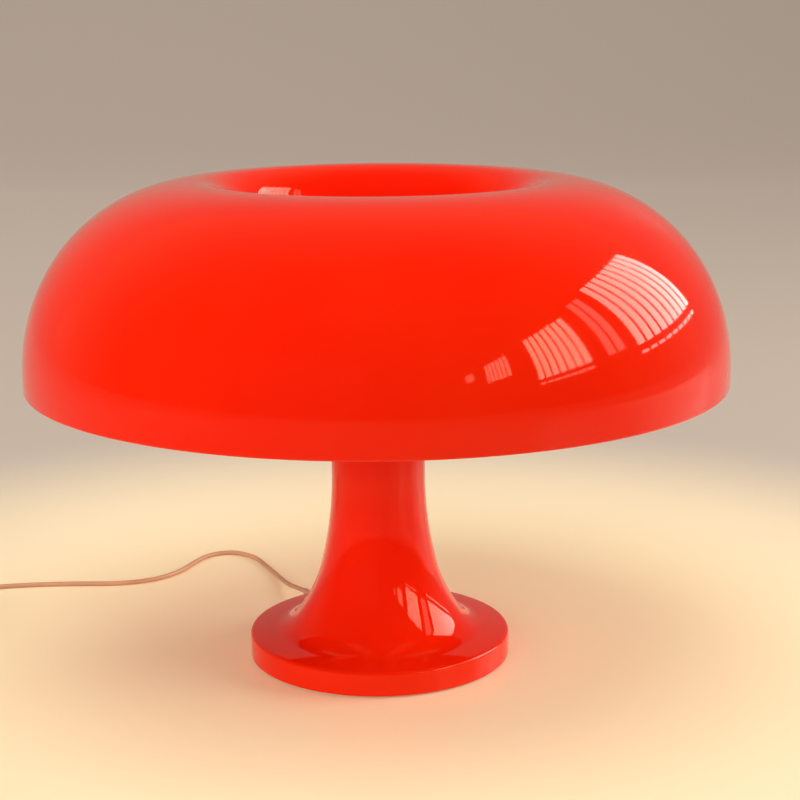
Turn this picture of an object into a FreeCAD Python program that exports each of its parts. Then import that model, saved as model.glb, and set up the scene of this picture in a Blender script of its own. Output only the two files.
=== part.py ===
"""Mushroom table lamp: a ring-shaped moulded shade on a trumpet stem, four screw-in bulbs."""
import FreeCAD, Part
import math
import os

from FreeCAD import Placement, Rotation, Vector

# ---- driving dimensions, in millimetres and degrees ----

# shade: a half ring with a funnel-shaped well in the middle
lamp_height = 224.0          # foot pads to the shade's ridge
shade_diameter = 320.0
shade_height = 90.0          # rim to ridge
skirt_height = 7.0           # upright band above the rim
ridge_diameter = 161.0
shade_wall = 2.6
rim_round = 1.0
lip_radius = 10.0            # from the ridge into the well
well_depth = 58.0
well_wall_angle = 62.0
well_fillet = 36.0
spigot_depth = 3.0           # ring under the well's floor that centres the shade
spigot_wall = 2.0

# stem: trumpet and foot in one moulding
waist_diameter = 43.6
waist_height = 87.0          # where the straight neck begins to widen
neck_radius = 173.0          # long upper curve
neck_turn = 14.3
flare_radius = 72.0
root_radius = 16.0           # from the flare into the foot
foot_diameter = 122.4
foot_edge_height = 11.8
foot_slope = 6.0
foot_edge_round = 1.5
foot_lift = 0.8              # shadow gap under the foot's edge
stem_wall = 3.0
stem_drop = 96.0             # stem's top below the ridge
rib_count = 6
first_rib_angle = 30.0
rib_wall = 2.0
rib_height = 22.0
boss_diameter = 8.0
boss_inset = 11.2            # middle of a screw boss, from the foot's edge
cover_screw_count = 3

# base cover, pads and ballast
cover_height = 1.6           # underside of the cover above the table
cover_wall = 2.0
cover_clearance = 0.3
pad_diameter = 10.0
pad_inset = 15.2             # middle of a pad, from the foot's edge
pad_count = 4
first_pad_angle = 45.0
pad_recess = 0.6
ballast_clearance = 2.0      # to the screw bosses
ballast_step = 8.0           # from the rim in to the raised middle
ballast_gap = 0.4
ballast_rim_height = 6.0
ballast_height = 12.0
ballast_chamfer = 1.0
lead_slot_clearance = 0.8    # each side of the lead in the ballast
counterbore_clearance = 0.5  # round the washer and below the nut
cover_screw_diameter = 2.9
cover_screw_head = 5.6
cover_screw_head_height = 1.6
cover_screw_length = 7.0
cover_screw_point = 1.5
screw_slot_width = 0.8
screw_slot_depth = 0.6
small_slot_width = 0.5       # terminal and switch screws
small_slot_depth = 0.5
pilot_depth = 0.4            # past the screw's point

# rod, nuts, carrier and seat
rod_diameter = 8.0
rod_clearance = 0.3
rod_chamfer = 0.7
rod_recess = 0.2             # rod's end above the ballast's underside
thread_clearance = 0.05      # a nut, knob or screw on its thread
sliding_clearance = 0.1      # what slides over the rod, and a screw or pad in its recess
nut_flats = 13.0
nut_height = 5.0
nut_chamfer = 0.8            # share of the corners that is turned off
washer_diameter = 16.0
washer_wall = 1.5
lead_hole_diameter = 6.0
lead_hole_radius = 14.0      # from the lamp's axis
carrier_wall = 1.5
carrier_hub_diameter = 41.0
arm_width = 20.0
arm_root_radius = 10.0       # where an arm starts, inside the hub
arm_reach = 27.0             # lamp's axis to the tab's middle plane, at its hole
tab_rise = 13.0              # hole above the hub
tab_top = 9.0                # tab above its hole
seat_tube_diameter = 15.0
seat_flange_diameter = 28.0
seat_flange_wall = 3.0
seat_gusset = 4.0            # cone from the tube out to the flange
seat_chamfer = 0.6

# lampholders and bulbs
holder_count = 4
holder_first_angle = 45.0
holder_tilt = 18.0
holder_diameter = 27.0
holder_rear_diameter = 22.0
holder_length = 30.0
holder_rear_wall = 8.0
holder_rear_length = 9.0     # narrow part, before the shoulder
holder_shoulder_end = 12.0
holder_chamfer = 0.8
nipple_diameter = 8.0
nipple_length = 6.0
nipple_wall = 1.5
nipple_clearance = 0.2
holder_nut_flats = 12.0
holder_nut_height = 2.5
shell_wall = 0.5
shell_length = 17.0
shell_inset = 1.0            # shell's edge behind the holder's mouth
shell_clearance = 0.02
spring_length = 6.6
spring_width = 4.0
spring_wall = 0.5
spring_gap = 0.1             # between the strip's two layers
spring_end = 2.2             # strip's free end, from the holder's axis
cap_diameter = 13.9
cap_clearance = 0.06
cap_length = 22.0
cap_collar_length = 2.2
cap_collar_slope = 1.2       # cone from the shell out to the collar
cap_collar_diameter = 16.4
cap_cone_height = 2.4        # insulator round the centre contact
cap_cone_margin = 0.6        # insulator's end round the contact
cap_edge = 0.5
bulb_diameter = 45.0
bulb_neck_diameter = 15.0
bulb_length = 52.0           # glass, from the cap to its far end
bulb_throat_radius = 14.0    # from the ball into the neck
bulb_wall = 1.0
tip_diameter = 5.0
tip_height = 1.6
tip_chamfer = 0.8
tip_travel = 1.2             # contact's spring-loaded way above the holder's floor

# knob in the well
knob_diameter = 26.0
knob_height = 12.0
knob_crown = 2.0
knob_flat_diameter = 8.0     # level middle of the crown
knob_flutes = 16
knob_flute_radius = 1.4
knob_flute_offset = 0.6      # flute's axis outside the knob
knob_bore_relief = 0.4       # bore above the rod's end
knob_washer_diameter = 22.0
knob_washer_wall = 1.0
knob_thread = 7.0            # rod inside the knob

# terminals on the carrier's hub
block_width = 8.0
block_length = 13.0          # across the lead
block_height = 9.0
pole_spacing = 6.2
pole_bore = 3.0
pole_depth = 4.0
pole_groove_width = 1.0
pole_groove_depth = 3.5
terminal_screw_diameter = 2.8
terminal_screw_length = 3.2
terminal_screw_sink = 0.6    # below the block's top

# pairs of wires inside
wire_diameter = 1.6
wire_lane = 13.4             # from the lamp's axis, round the seat
far_wire_lane = 11.2         # the pairs that go furthest
wire_level = 12.5            # lane above the hub
far_wire_level = 15.5
wire_bend = 2.4              # below its lane, where a pair turns into it
wire_climb = 0.3             # from one point of the lane to the next
wire_start_turn = 9.0        # degrees from the lead to where a pair leaves the block
wire_end_turn = 14.0         # degrees from its holder to where it leaves the lane
wire_point_turn = 32.0       # degrees between points of the lane
wire_overhang = 2.5          # point behind the nipple
wire_entry = 2.0             # wire's end inside the nipple

# cord and its fittings
cord_diameter = 2.4
gland_angle = 119.4          # behind the foot, seen from above
gland_height = 6.2
gland_sleeve_length = 15.0
gland_root_diameter = 4.0
gland_tip_diameter = 3.3
gland_collar_diameter = 6.4
gland_flange_diameter = 5.0  # inside the foot's wall
gland_collar_wall = 1.4
gland_neck_clearance = 0.05
gland_grooves = 4
gland_groove_first = 2.0     # from the collar
gland_groove_pitch = 3.0
gland_groove_width = 1.2
gland_groove_depth = 0.35

# in-line switch, longest along the cord
switch_place = (-216.0, 37.0)
switch_heading = 270.0
switch_length = 50.0
switch_width = 18.0
switch_end_width = 8.0
switch_height = 11.0
switch_split = 5.4           # joint between base and cover
switch_wall = 1.6
switch_edge_round = 1.2
switch_cord_height = 3.4
switch_sleeve_length = 8.0
switch_sleeve_root_diameter = 4.0
switch_sleeve_overlap = 0.6  # inside the base
switch_pillar_diameter = 4.8
switch_pillar_place = 16.0   # screws, each side of the middle
switch_screw_diameter = 1.6
switch_screw_clearance = 0.25
switch_screw_head = 3.8
switch_screw_head_height = 0.9
switch_screw_sink = 0.3      # head above the underside
switch_screw_reach = 2.4     # into the cover
switch_pilot_reach = 3.4
rocker_length = 12.6
rocker_width = 7.6
rocker_clearance = 0.35
rocker_end_clearance = 0.55
rocker_throw = 20.0
rocker_pin_diameter = 2.2
rocker_pin_clearance = 0.05
rocker_pin_reach = 1.5       # into each ear
rocker_drop = 3.0            # pivot below the cover's top
rocker_rise = 3.2            # ends above the pivot
rocker_dish = 0.8            # hollow between the ends
rocker_waist_inset = 0.5
rocker_waist_rise = 0.4
rocker_foot_inset = 1.4
rocker_foot_drop = 0.6
rocker_belly_drop = 2.2
ear_length = 6.0
ear_wall = 1.8
ear_gap = 0.4                # above the joint
strip_length = 8.0
strip_width = 2.4
strip_wall = 0.6
strip_rise = 2.0
strip_place = 2.0            # from the middle to the upright end

# plug
plug_place = (-271.0, 88.0)
plug_heading = 90.0
plug_width = 35.0
plug_thickness = 13.6
plug_nose_width = 26.0
plug_rear_width = 11.0
plug_rear_thickness = 9.2
plug_length = 36.0
plug_shoulder = 16.2         # widest place, from the rear
plug_swell = 7.0             # point of the swelling side, from the rear
plug_swell_inset = 5.0
plug_edge_round = 1.4
plug_lift = 0.1              # above the table
plug_sleeve_length = 16.0
plug_sleeve_root_diameter = 7.2
plug_sleeve_overlap = 2.0    # inside the body
plug_grooves = 4
plug_groove_first = 2.4
plug_groove_pitch = 3.2
plug_groove_width = 1.3
plug_groove_depth = 0.4
sleeve_tip_wall = 0.5        # round the cord at a sleeve's thin end
pin_diameter = 4.0
pin_neck_diameter = 3.0      # inside its insulating sleeve
pin_sleeve_diameter = 3.6
pin_sleeve_length = 10.0
pin_length = 19.0
pin_spacing = 18.6
pin_tip_round = 1.4

# coil of the length that is put away
coil_place = (-250.0, 1.0)
coil_mean_diameter = 30.0
coil_section_width = 10.0
coil_section_height = 9.8
coil_edge_round = 3.0

# route of the cord, chosen by hand: behind the foot, round to the left, along the table
lead_route = [(-43.0, 76.3, 5.2), (-48.0, 88.5, 2.8), (-53.0, 104.0, 1.3), (-61.0, 123.5, 1.2),
              (-69.5, 142.5, 1.2), (-82.0, 151.5, 1.2), (-95.0, 147.0, 1.2), (-102.0, 133.0, 1.2),
              (-108.0, 117.0, 1.2), (-120.0, 103.5, 1.2), (-139.0, 97.5, 1.2), (-162.0, 98.5, 1.2),
              (-184.0, 97.5, 1.2), (-206.5, 94.0, 1.2), (-216.0, 81.0, 3.0)]
link_route = [(-216.5, -6.0, 3.0), (-222.5, -15.5, 1.4), (-236.0, -18.6, 1.2), (-250.0, -17.75, 1.2)]
tail_route = [(-268.75, 1.0, 8.4), (-269.0, 13.0, 7.8), (-270.5, 25.0, 4.4), (-272.8, 38.0, 1.6),
              (-273.2, 52.0, 1.4), (-272.0, 66.0, 4.2), (-271.2, 78.0, 6.6)]

# ---- sizes that follow ----

shade_radius = shade_diameter / 2
ridge_radius = ridge_diameter / 2
rim_height = lamp_height - shade_height
widest_height = rim_height + skirt_height
floor_top = lamp_height - well_depth
floor_under = floor_top - shade_wall
stem_top = lamp_height - stem_drop
waist_radius = waist_diameter / 2
foot_radius = foot_diameter / 2
boss_circle_radius = foot_radius - boss_inset
pad_circle_radius = foot_radius - pad_inset
ballast_radius = boss_circle_radius - boss_diameter / 2 - ballast_clearance
rod_radius = rod_diameter / 2
cover_top = cover_height + cover_wall
ballast_bottom = cover_top + ballast_gap
ballast_top = ballast_bottom + ballast_height
hub_top = stem_top + carrier_wall
top_nut_top = hub_top + nut_height
seat_top = floor_under
counterbore_top = ballast_bottom + washer_wall + nut_height + counterbore_clearance
rod_bottom = ballast_bottom + rod_recess
knob_base = floor_top + knob_washer_wall
rod_top = knob_base + knob_thread
tab_height = hub_top + tab_rise
bore_radius = cap_diameter / 2 + cap_clearance
cap_start = holder_rear_wall + tip_height + tip_travel      # from the tab's outer face, along the holder
cord_radius = cord_diameter / 2
plug_middle = plug_thickness / 2 + plug_lift
plug_nose = plug_sleeve_length + plug_length

overrun = 1.0                # how far a cutter runs past what it cuts
Z_AXIS = Vector(0, 0, 1)
CENTRE = Vector(0, 0, 0)


# ---- helpers ----

def at(radius, height):
    """A point of an outline that is turned about the upright axis."""
    return Vector(radius, 0, height)


def line(a, b):
    return Part.makeLine(a, b)


def arc(centre, radius, start, end):
    """Arc in the outline's plane between two angles, in degrees from the outward direction."""
    def on(angle):
        turn = math.radians(angle)
        return centre + Vector(radius * math.cos(turn), 0, radius * math.sin(turn))
    return Part.Arc(on(start), on((start + end) / 2), on(end)).toShape()


def quarter_ellipse(centre, reach, rise):
    """From the widest point, straight out from the centre, up to the crown above it."""
    ellipse = Part.Ellipse(CENTRE, max(reach, rise), min(reach, rise))
    upright = rise > reach
    edge = ellipse.toShape(-math.pi / 2, 0) if upright else ellipse.toShape(0, math.pi / 2)
    edge.rotate(CENTRE, Vector(1, 0, 0), 90)
    if upright:
        edge.rotate(CENTRE, Vector(0, 1, 0), -90)
    edge.translate(centre)
    return edge


def start_of(edge):
    return edge.valueAt(edge.FirstParameter)


def end_of(edge):
    return edge.valueAt(edge.LastParameter)


def face_of(edges):
    return Part.Face(Part.Wire(Part.__sortEdges__(edges)))


def chain(*points):
    return [line(a, b) for a, b in zip(points, points[1:] + points[:1])]


def turned(edges):
    return face_of(edges).revolve(CENTRE, Z_AXIS, 360)


def rod_along(radius, bottom, top, x=0.0, y=0.0):
    return Part.makeCylinder(radius, top - bottom, Vector(x, y, bottom))


def tube(outer, inner, bottom, top):
    return rod_along(outer, bottom, top).cut(rod_along(inner, bottom - overrun, top + overrun))


def ring_places(count, radius, first=0.0):
    for step in range(count):
        turn = math.radians(first + step * 360.0 / count)
        yield radius * math.cos(turn), radius * math.sin(turn)


def hexagon(flats, bottom, top):
    corner = flats / math.sqrt(3)
    points = [Vector(x, y, bottom) for x, y in ring_places(6, corner)]
    return Part.Face(Part.makePolygon(points + points[:1])).extrude(Vector(0, 0, top - bottom))


def nut(flats, bore, bottom, top):
    """Hexagon with its corners chamfered on both faces."""
    wide = flats / math.sqrt(3)
    chamfer = nut_chamfer * (wide - flats / 2)
    blank = turned(chain(at(bore, bottom), at(wide - chamfer, bottom), at(wide, bottom + chamfer / 2),
                         at(wide, top - chamfer / 2), at(wide - chamfer, top), at(bore, top)))
    return hexagon(flats, bottom, top).common(blank)


def group(solids):
    return Part.makeCompound(solids)


def spun(shape, angle):
    copy = shape.copy()
    copy.rotate(CENTRE, Z_AXIS, angle)
    return copy


def holder_angles():
    return [holder_first_angle + step * 360.0 / holder_count for step in range(holder_count)]


def on_holder(shape, angle):
    """Moves a shape built along +Z from the tab's outer face to its place on the lamp."""
    copy = shape.copy()
    tilt = Placement(at(arm_reach, tab_height), Rotation(Vector(0, 1, 0), 90 - holder_tilt))
    place = Placement(CENTRE, Rotation(Z_AXIS, angle)).multiply(tilt)
    copy.Placement = place.multiply(copy.Placement)
    return copy


def on_table(shape, place, heading):
    """Moves a shape built along +X from its cord end to its place on the table."""
    copy = shape.copy()
    spot = Placement(Vector(place[0], place[1], 0), Rotation(Z_AXIS, heading))
    copy.Placement = spot.multiply(copy.Placement)
    return copy


# ---- shade ----

def well_edges(offset):
    """Ridge to well floor, moved into the wall by the offset."""
    turn = math.radians(well_wall_angle)
    lip_centre = at(ridge_radius, lamp_height - lip_radius)
    lip = arc(lip_centre, lip_radius - offset, 90, 90 + well_wall_angle)
    lip_end = end_of(lip)
    fillet_height = floor_top + well_fillet
    down = lip_end.z + (well_fillet + offset) * math.cos(turn) - fillet_height
    fillet_centre_radius = lip_end.x - down / math.tan(turn) - (well_fillet + offset) * math.sin(turn)
    fillet = arc(at(fillet_centre_radius, fillet_height), well_fillet + offset,
                 well_wall_angle - 90, -90)
    return [lip, line(lip_end, start_of(fillet)), fillet]


def shade():
    reach = shade_radius - ridge_radius
    rise = lamp_height - widest_height
    crown_centre = at(ridge_radius, widest_height)
    outside = quarter_ellipse(crown_centre, reach, rise)
    inside = quarter_ellipse(crown_centre, reach - shade_wall, rise - shade_wall)
    well_top = well_edges(0.0)
    well_under = well_edges(shade_wall)
    hole = rod_radius + rod_clearance
    half_wall = shade_wall / 2
    corner = min(rim_round, 0.9 * half_wall)
    rim_out = arc(at(shade_radius - corner, rim_height + corner), corner, -90, 0)
    rim_in = arc(at(shade_radius - shade_wall + corner, rim_height + corner), corner, 180, 270)
    floor_end = end_of(well_top[-1])
    under_end = end_of(well_under[-1])
    edges = [rim_out, line(end_of(rim_out), at(shade_radius, widest_height)), outside]
    edges += well_top
    edges += [line(floor_end, at(hole, floor_top)), line(at(hole, floor_top), at(hole, floor_under)),
              line(at(hole, floor_under), under_end)]
    edges += well_under
    edges += [inside, line(at(shade_radius - shade_wall, widest_height), start_of(rim_in)),
              rim_in, line(end_of(rim_in), start_of(rim_out))]
    spigot_inner = seat_flange_diameter / 2 + cover_clearance
    spigot = tube(spigot_inner + spigot_wall, spigot_inner, floor_under - spigot_depth, floor_under + half_wall)
    return turned(edges).fuse(spigot).removeSplitter()


# ---- stem and foot ----

def stem_curves():
    """Centres and end points of the tangent curves from the neck to the foot's edge."""
    slope = math.radians(foot_slope)
    turn = math.radians(neck_turn)
    inward = Vector(-math.cos(slope), 0, math.sin(slope))
    outward = Vector(math.sin(slope), 0, math.cos(slope))
    neck_centre = at(waist_radius + neck_radius, waist_height)
    away = Vector(math.cos(turn), 0, math.sin(turn))
    flare_centre = neck_centre - away * (neck_radius - flare_radius)
    edge_centre = at(foot_radius - foot_edge_round, foot_edge_height - foot_edge_round)
    edge_end = edge_centre + outward * foot_edge_round
    to_root = edge_end + outward * root_radius - flare_centre
    along = to_root.dot(inward)
    step = -along + math.sqrt(along ** 2 - to_root.Length ** 2 + (flare_radius - root_radius) ** 2)
    root_centre = edge_end + inward * step + outward * root_radius
    root_turn = math.degrees(math.atan2(flare_centre.z - root_centre.z, flare_centre.x - root_centre.x))
    return neck_centre, flare_centre, root_centre, edge_centre, edge_end, inward, outward, root_turn


def stem_outline(offset, bottom, top):
    """Closed outline of the stem's outside, or of its hollow when the offset is the wall."""
    neck_centre, flare_centre, root_centre, edge_centre, edge_end, inward, outward, root_turn = stem_curves()
    neck = arc(neck_centre, neck_radius + offset, 180, 180 + neck_turn)
    flare = arc(flare_centre, flare_radius + offset, 180 + neck_turn, 180 + root_turn)
    root = arc(root_centre, root_radius + offset, 180 + root_turn, 270 - foot_slope)
    edges = [line(at(waist_radius - offset, top), at(waist_radius - offset, waist_height)), neck, flare, root]
    rim = foot_radius - offset
    if offset:
        slope_start = edge_end - outward * offset
        corner = slope_start + inward * ((rim - slope_start.x) / inward.x)
        edges += [line(end_of(root), corner), line(corner, at(rim, bottom))]
    else:
        rounding = arc(edge_centre, foot_edge_round, 0, 90 - foot_slope)
        edges += [line(end_of(root), edge_end), rounding, line(start_of(rounding), at(rim, bottom))]
    edges += [line(at(rim, bottom), at(0, bottom)), line(at(0, bottom), at(0, top)),
              line(at(0, top), at(waist_radius - offset, top))]
    return edges


def cover_screw_places():
    return list(ring_places(cover_screw_count, boss_circle_radius, first_rib_angle))


def pad_places():
    return list(ring_places(pad_count, pad_circle_radius, first_pad_angle))


def lead_place():
    turn = math.radians(gland_angle)
    return lead_hole_radius * math.cos(turn), lead_hole_radius * math.sin(turn)


def stem():
    outside = turned(stem_outline(0.0, foot_lift, stem_top))
    roof = stem_top - stem_wall
    body = outside.cut(turned(stem_outline(stem_wall, foot_lift - overrun, roof)))
    for step in range(rib_count):
        rib = Part.makeBox(foot_radius, rib_wall, rib_height,
                           Vector(lead_hole_radius, -rib_wall / 2, ballast_top))
        body = body.fuse(spun(rib, first_rib_angle + step * 360.0 / rib_count).common(outside))
    for x, y in cover_screw_places():
        boss = rod_along(boss_diameter / 2, cover_top, foot_edge_height, x, y).common(outside)
        body = body.fuse(boss)
    for x, y in cover_screw_places():
        pilot_top = cover_height + cover_screw_length + pilot_depth
        body = body.cut(rod_along(cover_screw_diameter / 2 + thread_clearance, 0, pilot_top, x, y))
    body = body.cut(rod_along(rod_radius + rod_clearance, roof - overrun, stem_top + overrun))
    x, y = lead_place()
    body = body.cut(rod_along(lead_hole_diameter / 2, roof - overrun, stem_top + overrun, x, y))
    neck_hole = gland_root_diameter / 2 + gland_neck_clearance
    gland_hole = Part.makeCylinder(neck_hole, stem_wall + 2 * overrun,
                                   at(foot_radius - stem_wall - overrun, gland_height), Vector(1, 0, 0))
    return body.cut(spun(gland_hole, gland_angle)).removeSplitter()


# ---- base ----

def base_cover():
    disc = rod_along(foot_radius - stem_wall - cover_clearance, cover_height, cover_top)
    hole = cover_screw_diameter / 2 + sliding_clearance
    for x, y in cover_screw_places():
        sink = Part.makeCone(cover_screw_head / 2 + sliding_clearance, hole, cover_screw_head_height,
                             Vector(x, y, cover_height))
        through = rod_along(hole, cover_height - overrun, cover_top + overrun, x, y)
        disc = disc.cut(sink).cut(through)
    for x, y in pad_places():
        disc = disc.cut(rod_along(pad_diameter / 2 + sliding_clearance, cover_height - overrun,
                                  cover_height + pad_recess, x, y))
    return disc


def foot_pads():
    return group([rod_along(pad_diameter / 2, 0, cover_height + pad_recess, x, y) for x, y in pad_places()])


def cover_screws():
    """Countersunk screws with a cross slot."""
    radius, head = cover_screw_diameter / 2, cover_screw_head / 2
    head_top = cover_height + cover_screw_head_height
    shank_top = cover_height + cover_screw_length - cover_screw_point
    slot_reach, slot_height = 0.6 * head, screw_slot_depth + overrun
    screws = []
    for x, y in cover_screw_places():
        screw = Part.makeCone(head, radius, cover_screw_head_height, Vector(x, y, cover_height))
        screw = screw.fuse(rod_along(radius, head_top, shank_top, x, y))
        screw = screw.fuse(Part.makeCone(radius, 0.2 * radius, cover_screw_point, Vector(x, y, shank_top)))
        for wide, deep in ((slot_reach, screw_slot_width / 2), (screw_slot_width / 2, slot_reach)):
            corner = Vector(x - wide, y - deep, cover_height - overrun)
            screw = screw.cut(Part.makeBox(2 * wide, 2 * deep, slot_height, corner))
        screws.append(screw)
    return group(screws)


def ballast():
    """Cast disc with a raised middle, a counterbore for the nut and a slot for the lead."""
    rim, step = ballast_radius, ballast_radius - ballast_step
    rim_top, chamfer = ballast_bottom + ballast_rim_height, ballast_chamfer
    bore = rod_radius + rod_clearance
    pocket = washer_diameter / 2 + counterbore_clearance
    body = turned(chain(at(pocket, ballast_bottom), at(rim - chamfer, ballast_bottom),
                        at(rim, ballast_bottom + chamfer), at(rim, rim_top), at(step + chamfer, rim_top),
                        at(step, rim_top + chamfer), at(step, ballast_top), at(bore, ballast_top),
                        at(bore, counterbore_top), at(pocket, counterbore_top)))
    slot_width = cord_diameter + 2 * lead_slot_clearance
    slot = Part.makeBox(rim, slot_width, ballast_height + 2 * overrun,
                        Vector(lead_hole_radius - slot_width / 2, -slot_width / 2, ballast_bottom - overrun))
    return body.cut(spun(slot, gland_angle))


# ---- rod, nuts and seat ----

def tie_rod():
    rod = rod_along(rod_radius, rod_bottom, rod_top)
    return rod.makeChamfer(rod_chamfer, [edge for edge in rod.Edges if isinstance(edge.Curve, Part.Circle)])


def rod_nuts():
    low_top = counterbore_top - washer_wall
    bore = rod_radius + thread_clearance
    spans = ((low_top - nut_height, low_top), (hub_top, top_nut_top))
    return group([nut(nut_flats, bore, bottom, top) for bottom, top in spans])


def rod_washer():
    return tube(washer_diameter / 2, rod_radius + rod_clearance, counterbore_top - washer_wall, counterbore_top)


def shade_seat():
    """Post on the rod, with a flange that the shade's floor rests on."""
    bore = rod_radius + sliding_clearance
    tube_radius, flange = seat_tube_diameter / 2, seat_flange_diameter / 2
    under = seat_top - seat_flange_wall
    return turned(chain(at(bore, top_nut_top), at(tube_radius, top_nut_top), at(tube_radius, under - seat_gusset),
                        at(tube_radius + seat_gusset, under), at(flange, under),
                        at(flange, seat_top - seat_chamfer), at(flange - seat_chamfer, seat_top),
                        at(bore, seat_top)))


# ---- four-armed carrier ----

def socket_carrier():
    """Pressed sheet: a round hub and four arms whose ends turn up to face the bulbs."""
    body = rod_along(carrier_hub_diameter / 2, stem_top, hub_top)
    tilt = math.radians(holder_tilt)
    lean = Vector(-math.sin(tilt), 0, math.cos(tilt))
    normal = Vector(math.cos(tilt), 0, math.sin(tilt))
    hole_point = at(arm_reach, tab_height)
    inner = hole_point - normal * carrier_wall
    knee_out = hole_point - lean * ((hole_point.z - hub_top + carrier_wall / 2) / math.cos(tilt))
    knee_out.z = stem_top
    knee_in = inner - lean * ((inner.z - hub_top) / math.cos(tilt))
    top_out = hole_point + lean * tab_top
    top_in = inner + lean * tab_top
    strip = face_of(chain(at(arm_root_radius, stem_top), knee_out, top_out, top_in, knee_in,
                          at(arm_root_radius, hub_top))).extrude(Vector(0, arm_width, 0))
    strip.translate(Vector(0, -arm_width / 2, 0))
    reach = carrier_wall + overrun
    opening = Part.makeCylinder(nipple_diameter / 2 + nipple_clearance, 2 * reach, hole_point - normal * reach,
                                normal)
    arm = strip.cut(opening)
    for angle in holder_angles():
        body = body.fuse(spun(arm, angle))
    body = body.cut(rod_along(rod_radius + rod_clearance, stem_top - overrun, hub_top + overrun))
    x, y = lead_place()
    body = body.cut(rod_along(lead_hole_diameter / 2, stem_top - overrun, hub_top + overrun, x, y))
    return body.removeSplitter()


# ---- lampholders ----

def lampholder():
    """Moulded sleeve with a stepped skirt, hollow nipple at the back, open bore at the front."""
    rear, front, nipple = holder_rear_diameter / 2, holder_diameter / 2, nipple_diameter / 2
    bore, inner, chamfer = bore_radius + shell_wall, nipple - nipple_wall, holder_chamfer
    outline = [at(inner, -nipple_length), at(nipple, -nipple_length), at(nipple, 0), at(rear - chamfer, 0),
               at(rear, chamfer), at(rear, holder_rear_length), at(front, holder_shoulder_end),
               at(front, holder_length - chamfer), at(front - chamfer, holder_length), at(bore, holder_length),
               at(bore, holder_rear_wall), at(inner, holder_rear_wall)]
    return turned(chain(*outline))


def holder_shell():
    mouth = holder_length - shell_inset
    return tube(bore_radius + shell_wall - shell_clearance, bore_radius, mouth - shell_length, mouth)


def holder_spring():
    """Strip folded back over itself, which presses on the bulb's centre contact."""
    low, width = holder_rear_wall, spring_width
    high = low + spring_wall + spring_gap
    fold = spring_length - spring_end
    foot = Part.makeBox(spring_length, width, spring_wall, Vector(-spring_end, -width / 2, low))
    bend = Part.makeBox(spring_wall, width, high + spring_wall - low, Vector(fold - spring_wall, -width / 2, low))
    tongue = Part.makeBox(spring_length - overrun, width, spring_wall,
                          Vector(fold + overrun - spring_length, -width / 2, high))
    return foot.fuse(bend).fuse(tongue).removeSplitter()


def holder_contacts():
    solids = []
    for angle in holder_angles():
        solids += [on_holder(holder_shell(), angle), on_holder(holder_spring(), angle)]
    return group(solids)


def holder_nuts():
    top = -carrier_wall
    fitted = nut(holder_nut_flats, nipple_diameter / 2 + thread_clearance, top - holder_nut_height, top)
    return group([on_holder(fitted, angle) for angle in holder_angles()])


# ---- bulbs ----

def bulb_skin(inset, bottom):
    """Closed outline of the bulb's ball, throat and neck, moved into the glass by the inset."""
    ball, neck = bulb_diameter / 2 - inset, bulb_neck_diameter / 2 - inset
    throat = bulb_throat_radius + inset
    centre_height = cap_start + cap_length + bulb_length - bulb_diameter / 2
    rise = math.sqrt((ball + throat) ** 2 - (neck + throat) ** 2)
    lean = math.degrees(math.atan2(rise, neck + throat))
    waist = arc(at(neck + throat, centre_height - rise), throat, 180, 180 - lean)
    crown = arc(at(0, centre_height), ball, -lean, 90)
    return [line(at(0, bottom), at(neck, bottom)), line(at(neck, bottom), start_of(waist)), waist, crown,
            line(end_of(crown), at(0, bottom))]


def bulb_glass():
    """Round bulb with a short neck, hollow, open towards its cap."""
    start = cap_start + cap_length
    return turned(bulb_skin(0.0, start)).cut(turned(bulb_skin(bulb_wall, start - overrun)))


def bulb_cap():
    """Screw shell with its collar; a glass insulator cone closes the lower end."""
    radius, collar, edge = cap_diameter / 2, cap_collar_diameter / 2, cap_edge
    low, top, cone_top = cap_start, cap_start + cap_length, cap_start + cap_cone_height
    collar_low = top - cap_collar_length
    return turned(chain(at(0, low), at(tip_diameter / 2 + cap_cone_margin, low), at(radius - edge, cone_top),
                        at(radius, cone_top + edge), at(radius, collar_low),
                        at(collar, collar_low + cap_collar_slope), at(collar, top), at(0, top)))


def bulb_tip():
    low, radius, chamfer = cap_start - tip_height, tip_diameter / 2, tip_chamfer
    return turned(chain(at(0, low), at(radius - chamfer, low), at(radius, low + chamfer),
                        at(radius, cap_start), at(0, cap_start)))


# ---- knob in the well ----

def shade_knob():
    """Domed knob with a fluted edge and a blind threaded bore."""
    radius, flat = knob_diameter / 2, knob_flat_diameter / 2
    top = knob_base + knob_height
    crown_radius = ((radius - flat) ** 2 + knob_crown ** 2) / (2 * knob_crown)
    half = math.degrees(math.asin((radius - flat) / crown_radius))
    crown = arc(at(flat, top - crown_radius), crown_radius, 90 - half, 90)
    body = turned([line(at(0, knob_base), at(radius, knob_base)), line(at(radius, knob_base), start_of(crown)),
                   crown, line(end_of(crown), at(0, top)), line(at(0, top), at(0, knob_base))])
    for x, y in ring_places(knob_flutes, radius + knob_flute_offset):
        body = body.cut(rod_along(knob_flute_radius, knob_base - overrun, top + overrun, x, y))
    bore_top = rod_top + knob_bore_relief
    return body.cut(rod_along(rod_radius + thread_clearance, knob_base - overrun, bore_top))


def knob_washer():
    return tube(knob_washer_diameter / 2, rod_radius + sliding_clearance, floor_top, knob_base)


# ---- wiring ----

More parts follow.
